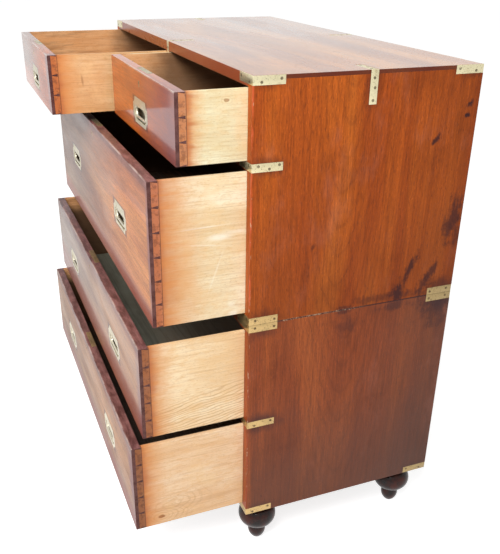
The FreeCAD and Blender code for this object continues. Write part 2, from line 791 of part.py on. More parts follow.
def drawer(name, x_span, z_span, pull, count, handles, handle_drop):
    """One drawer with its handles and lock, pulled out as the sheet says."""
    x_low, x_high = f"({x_span[0]} + dims.gap_beside)", f"({x_span[1]} - dims.gap_beside)"
    z_low, z_high = f"({z_span[0]} + dims.gap_below)", f"({z_span[1]} - dims.gap_above)"
    middle = f"(({x_low} + {x_high}) / 2)"
    face = f"({FRONT} - {pull})"
    run = "(dims.case_depth - dims.back_thick - dims.gap_behind)"
    rear = f"({face} + {run})"
    height = f"({z_high} - {z_low})"

    sides = [drawer_side(f"{name}_side_left_uncut", (x_low, face, z_low), height, run, count),
             drawer_side(f"{name}_side_right_uncut", (f"{x_high} - dims.wall_thick", face, z_low),
                         height, run, count)]
    panel_level = f"({z_low} + dims.panel_rise)"
    panel = slab(f"{name}_bottom",
                 (f"{x_low} + dims.wall_thick - dims.panel_groove",
                  f"{x_high} - dims.wall_thick + dims.panel_groove"),
                 (f"{face} + dims.front_thick - dims.panel_groove", rear),
                 (panel_level, f"{panel_level} + dims.panel_thick"))
    back = slab(f"{name}_back_blank", (x_low, x_high), (f"{rear} - dims.wall_thick", rear),
                (f"{panel_level} + dims.panel_thick", z_high))
    side_pair = group(f"{name}_side_pair", sides)
    grooved = cut(f"{name}_grooved_sides", side_pair, panel)
    keep(group(f"{name}_box", [grooved, cut(f"{name}_back", back, side_pair)]))
    keep(panel)

    lock_rooms = lock_parts(name, middle, face, z_high)
    level = f"(({z_low} + {z_high}) / 2 - {handle_drop})"
    plates, rooms = [], []
    for handle_name, x_place in handles:
        where = (x_place or middle, face, level)
        suffix = f"_{handle_name}" if handle_name else ""
        plates.append(handle_plate(f"{name}_plate{suffix}", where))
        rooms.append(handle_block(f"{name}_handle_room{suffix}", "dims.inlay_gap", where))
        keep(bail(f"{name}_bail{suffix}", where))
    keep(group(f"{name}_handle_plates", plates))
    board = slab(f"{name}_front_blank", (x_low, x_high), (face, f"{face} + dims.front_thick"),
                 (z_low, z_high))
    keep(cut(f"{name}_front", board, side_pair, panel, *lock_rooms, group(f"{name}_rooms", rooms)))


def drawers():
    """The five drawers, from the top."""
    half_divider = "dims.divider_thick / 2"
    whole = (f"-{INNER}", INNER)
    one_handle = (("", None),)
    two_handles = (("left", "-dims.handle_offset"), ("right", "dims.handle_offset"))
    short = (SHORT_FLOOR, SHORT_CEILING)
    drawer("short_left_drawer", (f"-{INNER}", f"-{half_divider}"), short, "dims.pull_short_left",
           "dims.tails_short", one_handle, "dims.handle_drop_short")
    drawer("short_right_drawer", (half_divider, INNER), short, "dims.pull_short_right",
           "dims.tails_short", one_handle, "dims.handle_drop_short")
    drawer("deep_drawer", whole, (DEEP_FLOOR, DEEP_CEILING), "dims.pull_deep",
           "dims.tails_deep", two_handles, "dims.handle_drop_deep")
    drawer("middle_drawer", whole, (MIDDLE_FLOOR, MIDDLE_CEILING), "dims.pull_middle",
           "dims.tails_long", two_handles, "dims.handle_drop_long")
    drawer("bottom_drawer", whole, (BOTTOM_FLOOR, BOTTOM_CEILING), "dims.pull_bottom",
           "dims.tails_long", two_handles, "dims.handle_drop_long")


# ---------------------------------------------------------------- build and write


def check(document, nodes):
    """Stops at any object that failed and at any sub-part that isn't sound."""
    for thing in document.Objects:
        if "Invalid" in thing.State or "Error" in thing.State:
            raise RuntimeError(f"{thing.Label} failed: {thing.State}")
    for label, thing in nodes.items():
        shape = thing.Shape
        if shape.isNull() or not shape.isValid() or not shape.Solids:
            raise RuntimeError(f"{label} has no sound solid")


def write(nodes):
    """Writes each sub-part to its own STEP file."""
    os.makedirs("parts", exist_ok=True)
    for label, thing in sorted(nodes.items()):
        thing.Shape.exportStep(f"parts/{label}.step")
        print(f"{label:32} {len(thing.Shape.Solids):3} solids {thing.Shape.Volume / 1000:10.1f} cm3")
    print(len(nodes), "sub-parts")


lower_case(lower_brass())
upper_case(upper_brass())
drawers()
DOCUMENT.recompute()
check(DOCUMENT, NODES)
write(NODES)
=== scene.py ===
import math
import bmesh
import bpy
from mathutils import Matrix, Vector


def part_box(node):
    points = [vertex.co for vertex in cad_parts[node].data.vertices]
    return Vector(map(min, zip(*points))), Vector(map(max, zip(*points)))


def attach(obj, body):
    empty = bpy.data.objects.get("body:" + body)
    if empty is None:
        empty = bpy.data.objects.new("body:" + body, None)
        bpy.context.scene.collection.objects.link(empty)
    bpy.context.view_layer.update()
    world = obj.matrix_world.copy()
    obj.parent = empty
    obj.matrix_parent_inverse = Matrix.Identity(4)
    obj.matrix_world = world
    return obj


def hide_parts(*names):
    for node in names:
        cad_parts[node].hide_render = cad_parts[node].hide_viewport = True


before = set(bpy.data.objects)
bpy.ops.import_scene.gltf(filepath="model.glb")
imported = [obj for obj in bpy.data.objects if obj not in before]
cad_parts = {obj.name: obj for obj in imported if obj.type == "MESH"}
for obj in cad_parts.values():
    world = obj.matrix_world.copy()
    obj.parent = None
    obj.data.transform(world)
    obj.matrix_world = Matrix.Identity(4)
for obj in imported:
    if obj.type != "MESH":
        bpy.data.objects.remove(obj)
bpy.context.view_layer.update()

# ---------------------------------------------------------------- viewpoint
# The chest is looked at from its right-hand end, from a little above its top,
# with the drawers pulled out towards the left.

EYE = Vector((1.6323, -0.5681, 1.2455))
HEADING = math.radians(68.128)
LOOK_DOWN = math.radians(26.029)
HEAD_TILT = math.radians(0.731)
FOCAL_PIXELS = 731.2
MIDDLE_PIXEL = (243.21, 300.05)
VIEW_SIZE = (500, 554)
SENSOR = 36

ahead = Vector((-math.sin(HEADING) * math.cos(LOOK_DOWN),
                math.cos(HEADING) * math.cos(LOOK_DOWN),
                -math.sin(LOOK_DOWN)))
level = Vector((math.cos(HEADING), math.sin(HEADING), 0))
upright = level.cross(ahead)
right = level * math.cos(HEAD_TILT) + upright * math.sin(HEAD_TILT)
up = upright * math.cos(HEAD_TILT) - level * math.sin(HEAD_TILT)

lens = bpy.data.cameras.new("Viewpoint")
lens.sensor_width = SENSOR
lens.lens = FOCAL_PIXELS / max(VIEW_SIZE) * SENSOR
lens.shift_x = (VIEW_SIZE[0] / 2 - MIDDLE_PIXEL[0]) / max(VIEW_SIZE)
lens.shift_y = (MIDDLE_PIXEL[1] - VIEW_SIZE[1] / 2) / max(VIEW_SIZE)
camera = bpy.data.objects.new("Viewpoint", lens)
turn = Matrix((right, up, -ahead)).transposed()
camera.matrix_world = Matrix.Translation(EYE) @ turn.to_4x4()
bpy.context.collection.objects.link(camera)
bpy.context.scene.camera = camera
bpy.context.scene.view_settings.view_transform = "Standard"


# ---------------------------------------------------------------- room
# A plain white studio: a wide pale floor that keeps the chest's soft shadow,
# a large lamp high on the side of the viewer and a weaker one in front.


class Wire:
    """A value on its way from one node to the next; sums on wires add Math nodes."""

    def __init__(self, finish, socket):
        self.finish = finish
        self.socket = socket

    def math(self, operation, *values):
        """One sum on up to three values or wires."""
        names = ("Value", "Value_001", "Value_002")
        return self.finish.add("ShaderNodeMath", {"operation": operation}, **dict(zip(names, values)))

    def __add__(self, other):
        return self.math("ADD", self, other)

    def __sub__(self, other):
        return self.math("SUBTRACT", self, other)

    def __rsub__(self, other):
        return self.math("SUBTRACT", other, self)

    def __mul__(self, other):
        return self.math("MULTIPLY", self, other)

    def __abs__(self):
        return self.math("ABSOLUTE", self)

    __radd__ = __add__
    __rmul__ = __mul__


class Finish:
    """A material or a sky, mixed from nodes."""

    def __init__(self, owner):
        owner.use_nodes = True
        self.owner = owner
        self.tree = owner.node_tree
        self.tree.nodes.clear()

    def add(self, kind, settings=None, out=0, **sockets):
        """Any node: its settings first, then the values or wires of its sockets."""
        node = self.tree.nodes.new(kind)
        for name, value in (settings or {}).items():
            if name == "stops":
                while len(node.color_ramp.elements) < len(value):
                    node.color_ramp.elements.new(0)
                for stop, (position, colour) in zip(node.color_ramp.elements, value):
                    stop.position = position
                    stop.color = (*colour, 1)
            else:
                setattr(node, name, value)
        inputs = {socket.identifier: socket for socket in node.inputs}
        for name, value in sockets.items():
            socket = inputs[name] if name in inputs else inputs[name.replace("_", " ")]
            if isinstance(value, Wire):
                self.tree.links.new(value.socket, socket)
            elif socket.type == "RGBA" and len(value) == 3:
                socket.default_value = (*value, 1)
            else:
                socket.default_value = value
        return Wire(self, node.outputs[out]) if node.outputs else None

    def seen_directly(self):
        """1 for a ray from the eye, or one that comes by way of a mirror or glass."""
        eye, gloss, glass = (self.add("ShaderNodeLightPath", out=ray)
                             for ray in ("Is Camera Ray", "Is Glossy Ray", "Is Transmission Ray"))
        return eye.math("MAXIMUM", eye.math("MAXIMUM", eye, gloss), glass)


FLOOR_SIZE = 40
FLOOR_GREY = (0.66, 0.66, 0.66)
FLOOR_GLOW = 0.78
WHITE = (1, 1, 1)
ROOM_LIGHT = 0.36

floor_shape = bmesh.new()
bmesh.ops.create_grid(floor_shape, x_segments=1, y_segments=1, size=FLOOR_SIZE)
floor_mesh = bpy.data.meshes.new("Floor")
floor_shape.to_mesh(floor_mesh)
floor_shape.free()
floor = bpy.data.objects.new("Floor", floor_mesh)
bpy.context.collection.objects.link(floor)

ground = Finish(bpy.data.materials.new("floor"))
matt = ground.add("ShaderNodeBsdfDiffuse", Color=FLOOR_GREY)
glow = ground.add("ShaderNodeEmission", Color=WHITE, Strength=ground.seen_directly() * FLOOR_GLOW)
matt_and_glow = ground.add("ShaderNodeAddShader", Shader=matt, Shader_001=glow)
ground.add("ShaderNodeOutputMaterial", Surface=matt_and_glow)
floor_mesh.materials.append(ground.owner)

world = bpy.data.worlds.new("Studio")
bpy.context.scene.world = world
sky = Finish(world)
sky_light = sky.seen_directly() * (1 - ROOM_LIGHT) + ROOM_LIGHT
studio_white = sky.add("ShaderNodeBackground", Color=WHITE, Strength=sky_light)
sky.add("ShaderNodeOutputWorld", Surface=studio_white)

LAMPS = {
    # lamp: where it hangs, what it is aimed at, the width of its square and its power
    "KeyLamp": ((1.8, -1.3, 2.6), (0.4, 0, 0.7), 1.2, 84),
    "FillLamp": ((0.2, -3.0, 2.2), (0, 0, 0.5), 2.0, 24),
}
for name, (spot, aim, size, power) in LAMPS.items():
    lamp = bpy.data.lights.new(name, "AREA")
    lamp.size = size
    lamp.energy = power
    holder = bpy.data.objects.new(name, lamp)
    holder.location = spot
    holder.rotation_euler = (Vector(spot) - Vector(aim)).to_track_quat("Z", "Y").to_euler()
    bpy.context.collection.objects.link(holder)


# ---------------------------------------------------------------- sides of the cases
# Wide boards of red-brown hardwood with the grain upright, waxed, and housed
# for the boards that meet them. The upper case is still orange, the lower one
# redder, with dirt round the brass and along the seam and stains at the rear.
# Each side is darker towards the rear, and has painted shade that darkens it
# downwards, pale patches of painted sheen, and a painted highlight on its
# rubbed front arris.


FACE_FADE = (0.0012, 0.0004)


class Polish(Finish):
    """A finish for one of the chest's surfaces, read from the place on the piece."""

    def __init__(self, name):
        super().__init__(bpy.data.materials.new(name))
        self.place = self.add("ShaderNodeTexCoord", out="Object")
        self.x, self.y, self.z = (self.add("ShaderNodeSeparateXYZ", out=axis, Vector=self.place)
                                  for axis in "XYZ")

    def drawn_out(self, along, stretch, seed):
        """The place, for patterns drawn out along one axis."""
        scale = [1, 1, 1]
        scale["XYZ".index(along)] = 1 / stretch
        shift = (seed * 1.37, seed * 0.71, seed * 2.13)
        return self.add("ShaderNodeMapping", Vector=self.place, Location=shift, Scale=scale)

    def noise(self, place, scale, detail=2, roughness=0.5, distortion=0):
        """An uneven pattern whose patches are about 1 / scale metres across."""
        return self.add("ShaderNodeTexNoise", Vector=place, Scale=scale, Detail=detail,
                        Roughness=roughness, Distortion=distortion)

    def step(self, value, start, end, low=0, high=1):
        """A soft step between two values of something."""
        return self.add("ShaderNodeMapRange", {"interpolation_type": "SMOOTHSTEP"}, Value=value,
                        From_Min=start, From_Max=end, To_Min=low, To_Max=high)

    def on_face(self, value, level, inwards=-1):
        """1 on a piece's outer face, whose level is given, and 0 just inside it."""
        start, end = (level + inwards * deep for deep in FACE_FADE)
        return self.step(value, start, end)

    def ramp(self, value, stops):
        """A colour for each value, from a few that are given with their values."""
        return self.add("ShaderNodeValToRGB", {"stops": stops}, Fac=value)

    def blend(self, under, over, share, way="MIX"):
        """One colour over another."""
        return self.add("ShaderNodeMix", {"data_type": "RGBA", "blend_type": way}, out=2,
                        Factor_Float=share, A_Color=under, B_Color=over)

    def oval(self, centre, size, lean=0, wobble=0):
        """1 in the middle of an oval blot, fading to 0 at its rim."""
        away = self.add("ShaderNodeMapping", {"vector_type": "TEXTURE"}, Vector=self.place,
                        Location=centre, Rotation=(lean, 0, 0), Scale=size)
        distance = self.add("ShaderNodeVectorMath", {"operation": "LENGTH"}, out=1, Vector=away)
        return self.step(distance + wobble, 1, 0.2)

    def relief(self, height, depth, rounding=0.0008):
        """A bumpy surface whose arrises are a little rounded."""
        rounded = self.add("ShaderNodeBevel", {"samples": 4}, Radius=rounding)
        return self.add("ShaderNodeBump", Height=height, Distance=depth, Strength=1, Normal=rounded)

    def wear_on(self, *nodes, **surface):
        """Ends the finish with its surface, and puts it on pieces of the model."""
        shader = self.add("ShaderNodeBsdfPrincipled", **surface)
        self.add("ShaderNodeOutputMaterial", Surface=shader)
        for node in nodes:
            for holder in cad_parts[node].material_slots:
                holder.material = self.owner
        return self.owner


def wood_tones(*colours):
    """The dark, middle and light colour of a wood, as the stops of a ramp."""
    return tuple(zip((0.38, 0.50, 0.62), colours))


UPPER_TONES = wood_tones((0.34, 0.064, 0.009), (0.42, 0.088, 0.011), (0.49, 0.117, 0.016))
LOWER_TONES = wood_tones((0.24, 0.050, 0.012), (0.29, 0.064, 0.014), (0.34, 0.080, 0.018))
PORE = (0.055, 0.012, 0.007)
STAIN = (0.030, 0.010, 0.012)
CHIP = (0.62, 0.42, 0.27)
PAINTED_SHEEN = (0.62, 0.24, 0.16)
BARE_INSIDE = (0.12, 0.055, 0.028)
SIDE_THICK = 0.020
HALF_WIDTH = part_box("upper_side_right")[1].x
CASE_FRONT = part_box("upper_side_right")[0].y
CASE_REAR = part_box("upper_side_right")[1].y
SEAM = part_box("upper_side_right")[0].z


def hardwood(finish, along, tones, seed):
    """Colour and height of a board of long-grained wood with open pores."""
    broad = finish.drawn_out(along, stretch=9, seed=seed)
    long = finish.drawn_out(along, stretch=26, seed=seed)
    short = finish.drawn_out(along, stretch=5, seed=seed + 3)
    pricked = finish.drawn_out(along, stretch=10, seed=seed)
    figure = finish.noise(broad, scale=11, detail=3, roughness=0.5, distortion=0.6)
    ribbon = finish.noise(long, scale=95, detail=3, roughness=0.65, distortion=0.2)
    fibre = finish.noise(long, scale=330, detail=3, roughness=0.75)
    fleck = finish.noise(short, scale=640, detail=2, roughness=0.6)
    shade = finish.step(ribbon, 0.34, 0.66, low=0.92, high=1.08)
    shade = shade * finish.step(fibre, 0.30, 0.70, low=0.80, high=1.20)
    shade = shade * finish.step(fleck, 0.58, 0.70, low=1.0, high=1.35)
    colour = finish.blend(finish.ramp(figure, tones), shade, 1, "MULTIPLY")
    pores = finish.step(finish.noise(pricked, scale=900, detail=1, roughness=0.5), 0.59, 0.70)
    return finish.blend(colour, PORE, pores * 0.45), fibre - pores * 0.8


def arches(finish, seed, middle, foot, steepness, spacing):
    """The nested pointed arches of a board sawn across its rings, upside down, 1 on their lines."""
    upright = finish.drawn_out("Z", stretch=3, seed=seed)
    sway = finish.noise(upright, scale=8, detail=3, roughness=0.5) - 0.5
    off = finish.y - middle + sway * 0.06
    field = finish.z - foot - off * off * steepness + sway * 0.16
    wave = field.math("SINE", field * (math.tau / spacing))
    lines = finish.step(wave, 0.86, 1.0) + finish.step(wave, -1, 1) * 0.6
    return lines * finish.step(abs(off), 0.20, 0.06)


def case_side(node, seed, tones, grime, blots, arch, red_edge_and_highlight, front_tint, rear_and_shade_tone, rear_and_shade_share, gloss):
    """The finish of one side of a case."""
    finish = Polish(f"case_wood_{node}")
    low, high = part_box(node)
    colour, height = hardwood(finish, "Z", tones, seed)
    colour = finish.blend(colour, PORE, arches(finish, seed, **arch) * 0.13)
    cloud = finish.noise(finish.place, scale=6, detail=4, roughness=0.6)
    clouded = finish.blend(colour, PORE, 0.45)
    colour = finish.blend(colour, clouded, finish.step(cloud, 0.50, 0.72) * 0.6)
    # Darker towards the rear.
    rear = finish.step(finish.y, CASE_REAR - 0.24, CASE_REAR)
    colour = finish.blend(colour, rear_and_shade_tone, rear * (rear_and_shade_share * 0.9))
    # Painted sheen: pale pinkish hazy patches.
    upright = finish.drawn_out("Z", stretch=2, seed=seed + 9)
    sheen_patches = finish.step(finish.noise(upright, scale=9, detail=5, roughness=0.7), 0.52, 0.72)
    colour = finish.blend(colour, PAINTED_SHEEN, sheen_patches * 0.16)

    # Dirt and stains, with ragged rims that follow the grain.
    runs = finish.drawn_out("Z", stretch=5, seed=seed)
    streak = finish.noise(runs, scale=130, detail=3, roughness=0.7) - 0.5
    crumbs = finish.noise(finish.place, scale=38, detail=4, roughness=0.7) - 0.5
    ragged = crumbs * 2.4 + streak * 1.2
    for marks, wobble in ((grime, ragged * 0.35), (blots, ragged)):
        for centre, size, lean, weight in marks:
            colour = finish.blend(colour, STAIN, finish.oval(centre, size, lean, wobble) * weight)
    # Painted shade: the side darkens downwards, less so just behind its front arris.
    shade_downwards = finish.step(finish.z, high.z - 0.10, low.z)
    behind_arris = finish.step(finish.y, CASE_FRONT, CASE_FRONT + 0.02, low=0.3, high=1)
    colour = finish.blend(colour, rear_and_shade_tone, shade_downwards * behind_arris * rear_and_shade_share)

    # The front edge, and its arris rubbed red under a painted highlight, with nicks down to the pale
    # wood.
    off_front, off_side = finish.y - CASE_FRONT, HALF_WIDTH - abs(finish.x)
    colour = finish.blend(colour, front_tint, finish.step(off_front, 0.0008, 0.0003), "MULTIPLY")
    off_arris = off_front.math("MAXIMUM", off_front, off_side)
    arris = finish.step(off_arris + ragged * 0.0006, 0.0040, 0.0014)
    patchy = finish.drawn_out("Z", stretch=4, seed=seed)
    rubbed = finish.step(finish.noise(patchy, scale=60, detail=3, roughness=0.6), 0.40, 0.60)
    colour = finish.blend(colour, red_edge_and_highlight, arris * rubbed * 0.9)
    splintery = finish.drawn_out("Z", stretch=3, seed=seed)
    nicks = finish.step(finish.noise(splintery, scale=260, detail=2, roughness=0.6), 0.58, 0.66)
    nicks = nicks * finish.step(off_arris, 0.0030, 0.0010)
    colour = finish.blend(colour, CHIP, nicks * 0.7)

    # The seam: a dark line, dusty near the front, with edges chipped in its front half.
    off_seam = abs(finish.z - SEAM)
    colour = finish.blend(colour, STAIN, finish.step(off_seam, 0.0022, 0.0008) * 0.85)
    specks = finish.step(finish.noise(finish.place, scale=130, detail=2, roughness=0.6), 0.50, 0.56)
    dusty = specks * finish.step(off_seam, 0.0011, 0.0005) * finish.step(finish.y, 0.08, 0.04)
    colour = finish.blend(colour, CHIP, dusty * 0.8)
    crust = finish.step(finish.noise(finish.place, scale=420, detail=3, roughness=0.7), 0.54, 0.62)
    chipped = crust * finish.step(off_seam, 0.0032, 0.0012)
    run = finish.step(finish.y, -0.045, -0.020) * finish.step(finish.y, 0.165, 0.120)
    colour = finish.blend(colour, CHIP, chipped * run * 0.75)

    # The bare inner face.
    inner_face = HALF_WIDTH - SIDE_THICK
    bare = finish.step(abs(finish.x), inner_face + 0.0006, inner_face)
    colour = finish.blend(colour, BARE_INSIDE, bare)
    roughness = finish.step(cloud, 0.35, 0.7, low=0.36, high=0.52) + bare * 0.3
    finish.wear_on(node, Base_Color=colour, Roughness=roughness, Specular_IOR_Level=gloss,
                   Normal=finish.relief(height, depth=0.00016))


MARK_DEPTH = 0.02


def on_side(y, z, half_y, half_z, lean=0.0, weight=0.9):
    """An oval mark on the right-hand side of the chest, in metres, and how dark it is."""
    return (HALF_WIDTH, y, z), (MARK_DEPTH, half_y, half_z), lean, weight


UPPER_GRIME = (
    on_side(-0.070, 1.043, 0.050, 0.022, 0, 0.5),
    on_side(-0.070, 0.896, 0.050, 0.026, 0, 0.55),
    on_side(-0.070, 0.597, 0.056, 0.034, 0, 0.6),
    on_side(0.1305, 1.021, 0.020, 0.052, 0, 0.55),
    on_side(0.331, 1.043, 0.050, 0.022, 0, 0.5),
    on_side(0.331, 0.597, 0.070, 0.040, 0, 0.7),
)
UPPER_BLOTS = (
    on_side(0.342, 0.981, 0.011, 0.007, 0.5, 0.95),
    on_side(0.338, 0.959, 0.006, 0.005, 0, 0.95),
    on_side(0.275, 0.917, 0.007, 0.015, -0.6, 0.9),
    on_side(0.340, 0.752, 0.026, 0.060, -0.2, 0.75),
    on_side(0.352, 0.720, 0.016, 0.050, 0.1, 0.6),
    on_side(0.248, 0.652, 0.012, 0.055, -0.4, 0.9),
    on_side(0.226, 0.604, 0.026, 0.020, 0.3, 0.95),
    on_side(0.305, 0.645, 0.012, 0.040, -0.5, 0.8),
    on_side(0.290, 0.615, 0.030, 0.024, -0.3, 0.8),
    on_side(0.200, 0.600, 0.100, 0.016, 0, 0.55),
    on_side(0.105, 0.593, 0.030, 0.006, 0, 0.6),
    on_side(0.028, 0.732, 0.006, 0.012, -0.4, 0.55),
)
LOWER_GRIME = (
    on_side(-0.070, 0.581, 0.056, 0.034, 0, 0.6),
    on_side(-0.070, 0.358, 0.062, 0.032, 0, 0.75),
    on_side(0.331, 0.581, 0.070, 0.040, 0, 0.7),
    on_side(-0.070, 0.130, 0.056, 0.024, 0, 0.5),
    on_side(0.331, 0.130, 0.056, 0.024, 0, 0.5),
)
LOWER_BLOTS = (
    on_side(0.330, 0.555, 0.060, 0.050, 0.3, 0.55),
    on_side(0.115, 0.555, 0.030, 0.030, 0.2, 0.45),
    on_side(0.225, 0.580, 0.050, 0.014, 0, 0.6),
    on_side(0.105, 0.584, 0.030, 0.006, 0, 0.5),
)
UPPER_LOOK = dict(
    tones=UPPER_TONES, grime=UPPER_GRIME, blots=UPPER_BLOTS,
    arch=dict(middle=0.085, foot=0.77, steepness=40, spacing=0.060),
    red_edge_and_highlight=(0.60, 0.105, 0.035), front_tint=(0.88, 0.88, 0.88),
    rear_and_shade_tone=(0.100, 0.020, 0.008), rear_and_shade_share=0.32, gloss=0.13)
LOWER_LOOK = dict(
    tones=LOWER_TONES, grime=LOWER_GRIME, blots=LOWER_BLOTS,
    arch=dict(middle=0.110, foot=0.24, steepness=40, spacing=0.070),
    red_edge_and_highlight=(0.32, 0.060, 0.022), front_tint=(1.05, 0.92, 0.80),
    rear_and_shade_tone=(0.070, 0.034, 0.025), rear_and_shade_share=0.62, gloss=0.20)

for seed, side in enumerate(("left", "right")):
    case_side(f"upper_side_{side}", 2.4 + seed, **UPPER_LOOK)
    case_side(f"lower_side_{side}", 5.1 + seed, **LOWER_LOOK)


# ---------------------------------------------------------------- lying boards of the cases
# The same wood with the grain along each board: the top, lapped over the sides
# and under a hard shiny polish, and the bottoms, rails and divider between the
# drawers, which are housed in the sides and bare behind their front edges.

TOP_TONES = wood_tones((0.26, 0.072, 0.008), (0.40, 0.130, 0.014), (0.52, 0.195, 0.026))
TOP_END = (0.10, 0.014, 0.008)
TOP_FRONT = (0.28, 0.060, 0.020)
TOP_THICK = 0.020
RAIL_TONES = wood_tones((0.20, 0.036, 0.012), (0.31, 0.060, 0.016), (0.42, 0.100, 0.026))
top_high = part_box("upper_top")[1]

top = Polish("case_wood_upper_top")
colour, height = hardwood(top, "X", TOP_TONES, 8.3)
lengthwise = top.drawn_out("X", stretch=3, seed=4.4)
smear = top.noise(lengthwise, scale=7, detail=4, roughness=0.6, distortion=0.5)
colour = top.blend(colour, top.blend(colour, PORE, 0.5), top.step(smear, 0.48, 0.68) * 0.7)
ends = top.on_face(abs(top.x), top_high.x)
colour = top.blend(colour, TOP_END, ends * 0.9)
front_edge = top.on_face(top.y, CASE_FRONT, inwards=1)
colour = top.blend(colour, TOP_FRONT, front_edge * top.step(smear, 0.35, 0.6, low=0.75, high=1.0))
underside = top_high.z - TOP_THICK
beneath = top.step(top.z, underside + 0.0008, underside + 0.0002)
colour = top.blend(colour, BARE_INSIDE, beneath)
edges = ends.math("MAXIMUM", ends, front_edge * 0.7)
polish = (1 - edges) * top.step(smear, 0.4, 0.6, low=0.7, high=1.0)
polish = polish * top.step(top.x, 0, 0.40, low=1.0, high=0.82)
top.wear_on("upper_top", Base_Color=colour, Roughness=top.step(smear, 0.35, 0.65, low=0.24, high=0.34),
            Coat_Weight=polish, Coat_Roughness=0.13, Specular_IOR_Level=0.2,
            Normal=top.relief(height, depth=0.00010, rounding=0.0012))


def lying_board(node, along, seed):
    """The finish of a board that shows only its front edge while the drawers are shut."""
    finish = Polish(f"case_wood_{node}")
    colour, height = hardwood(finish, along, RAIL_TONES, seed)
    behind = finish.step(finish.y, CASE_FRONT + 0.03, CASE_FRONT + 0.09)
    colour = finish.blend(colour, BARE_INSIDE, behind * 0.85)
    finish.wear_on(node, Base_Color=colour, Roughness=0.42 + behind * 0.2, Specular_IOR_Level=0.3,
                   Normal=finish.relief(height, depth=0.00014))


for seed, node in enumerate(("upper_bottom", "upper_rail", "lower_top", "lower_rail", "lower_bottom")):
    lying_board(node, "X", 11 + seed * 1.7)
lying_board("upper_divider", "Y", 13.1)


# ---------------------------------------------------------------- backs, dustboards and pegs
# Cheaper brown boards, planed but never polished, with years of dust on them:
# three across each back, let into rebates, and one behind each rail. The pegs
# are glued into the upper case and drop into holes in the lower one.

PLAIN_TONES = wood_tones((0.11, 0.060, 0.030), (0.17, 0.095, 0.048), (0.24, 0.145, 0.078))
BACK_BOARDS = 3


def plain_boards(name, nodes, along, seed, boards=1):
    """The finish of a panel made up of level boards, each from another part of the tree."""
    finish = Polish(f"plain_wood_{name}")
    low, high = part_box(nodes[0])
    board = (finish.z - low.z) * (boards / (high.z - low.z))
    board = board.math("FLOOR", board) + seed
    tone = finish.add("ShaderNodeTexWhiteNoise", {"noise_dimensions": "1D"}, W=board)
    elsewhere = finish.add("ShaderNodeCombineXYZ", X=board * 1.7, Z=board * 0.3)
    finish.place = finish.add("ShaderNodeVectorMath", {"operation": "ADD"}, Vector=finish.place,
                              Vector_001=elsewhere)
    colour, height = hardwood(finish, along, PLAIN_TONES, seed)
    colour = finish.blend(colour, finish.step(tone, 0, 1, low=0.72, high=1.25), 1, "MULTIPLY")
    streaks = finish.drawn_out(along, stretch=12, seed=seed)
    rings = finish.noise(streaks, scale=60, detail=3, roughness=0.6, distortion=0.8)
    colour = finish.blend(colour, BARE_INSIDE, finish.step(rings, 0.50, 0.62) * 0.45)
    dust = finish.step(finish.noise(finish.place, scale=7, detail=4, roughness=0.6), 0.45, 0.75)
    colour = finish.blend(colour, BARE_INSIDE, dust * 0.35)
    finish.wear_on(*nodes, Base_Color=colour, Roughness=0.72 + dust * 0.15, Specular_IOR_Level=0.25,
                   Normal=finish.relief(height, depth=0.0003))


plain_boards("upper_back", ("upper_back",), "X", 3.3, BACK_BOARDS)
plain_boards("lower_back", ("lower_back",), "X", 8.9, BACK_BOARDS)
plain_boards("dustboards", ("upper_dustboard", "lower_dustboard"), "X", 4.9)
plain_boards("pegs", ("locating_pegs",), "Z", 6.2)


# ---------------------------------------------------------------- drawer fronts
# The show wood of the drawers, lap-dovetailed to their boxes, with the grain
# along the width under a hard glossy polish. The lower two are browner, and dirt
# outlines the handles. Painted light on them: a purple sheen on the right-hand
# ends, painted shade over the left part and on the upper edges, and dark red
# painted reflections at the top and foot.

ORANGE_TONES = wood_tones((0.40, 0.110, 0.018), (0.53, 0.165, 0.028), (0.64, 0.225, 0.042))
RED_TONES = wood_tones((0.44, 0.080, 0.006), (0.57, 0.120, 0.009), (0.68, 0.165, 0.014))
BROWN_TONES = wood_tones((0.28, 0.105, 0.026), (0.38, 0.155, 0.040), (0.47, 0.205, 0.060))
DARKENED = (0.085, 0.026, 0.022)
LEFT_SHADE_TINT = (0.34, 0.50, 1.2)
PURPLE_SHEEN = (0.18, 0.060, 0.066)
DARK_REFLECTION_RED = (0.20, 0.030, 0.020)
EDGE_DARK, EDGE_RUBBED = (0.080, 0.030, 0.030), (0.27, 0.120, 0.112)
EDGE_LINE = (0.56, 0.42, 0.36)
END_GRAIN = (0.050, 0.018, 0.016)
FRONT_END = (0.130, 0.058, 0.052)
FRONTS = {
    # after the tones: gloss, the weight of the polish; how far the painted purple sheen reaches at
    # the right end; how strong the painted shade over the left part is; how strong the painted
    # shade and dark reflections at the top and foot are; and the height of the dark red painted
    # reflection at the foot
    "short_left_drawer": dict(tones=RED_TONES, gloss=0.50, purple_sheen_reach=0.05, left_shade=0.90,
                              top_and_foot_shade=0.2, reflection_height=0.07),
    "short_right_drawer": dict(tones=RED_TONES, gloss=0.66, purple_sheen_reach=0.25, left_shade=0.15,
                               top_and_foot_shade=0.05, reflection_height=0.07),
    "deep_drawer": dict(tones=ORANGE_TONES, gloss=0.20, purple_sheen_reach=0.02, left_shade=0.90,
                        top_and_foot_shade=0.95, reflection_height=0.05),
    "middle_drawer": dict(tones=BROWN_TONES, gloss=0.25, purple_sheen_reach=0.04, left_shade=0.7,
                          top_and_foot_shade=0.9, reflection_height=0.10),
    "bottom_drawer": dict(tones=BROWN_TONES, gloss=0.10, purple_sheen_reach=0.05, left_shade=0.3,
                          top_and_foot_shade=0.9, reflection_height=0.06),
}
plate_low, plate_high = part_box("short_right_drawer_handle_plates")
PLATE_CENTRES = (plate_low.x + plate_high.x) / 2
PLATE_HALF_WIDTH = (plate_high.x - plate_low.x) / 2
PLATE_HALF_HEIGHT = (plate_high.z - plate_low.z) / 2


def off_handle(finish):
    """How far to the right of its handle's middle a place is."""
    return finish.x.math("FLOORED_MODULO", finish.x, 2 * PLATE_CENTRES) - PLATE_CENTRES


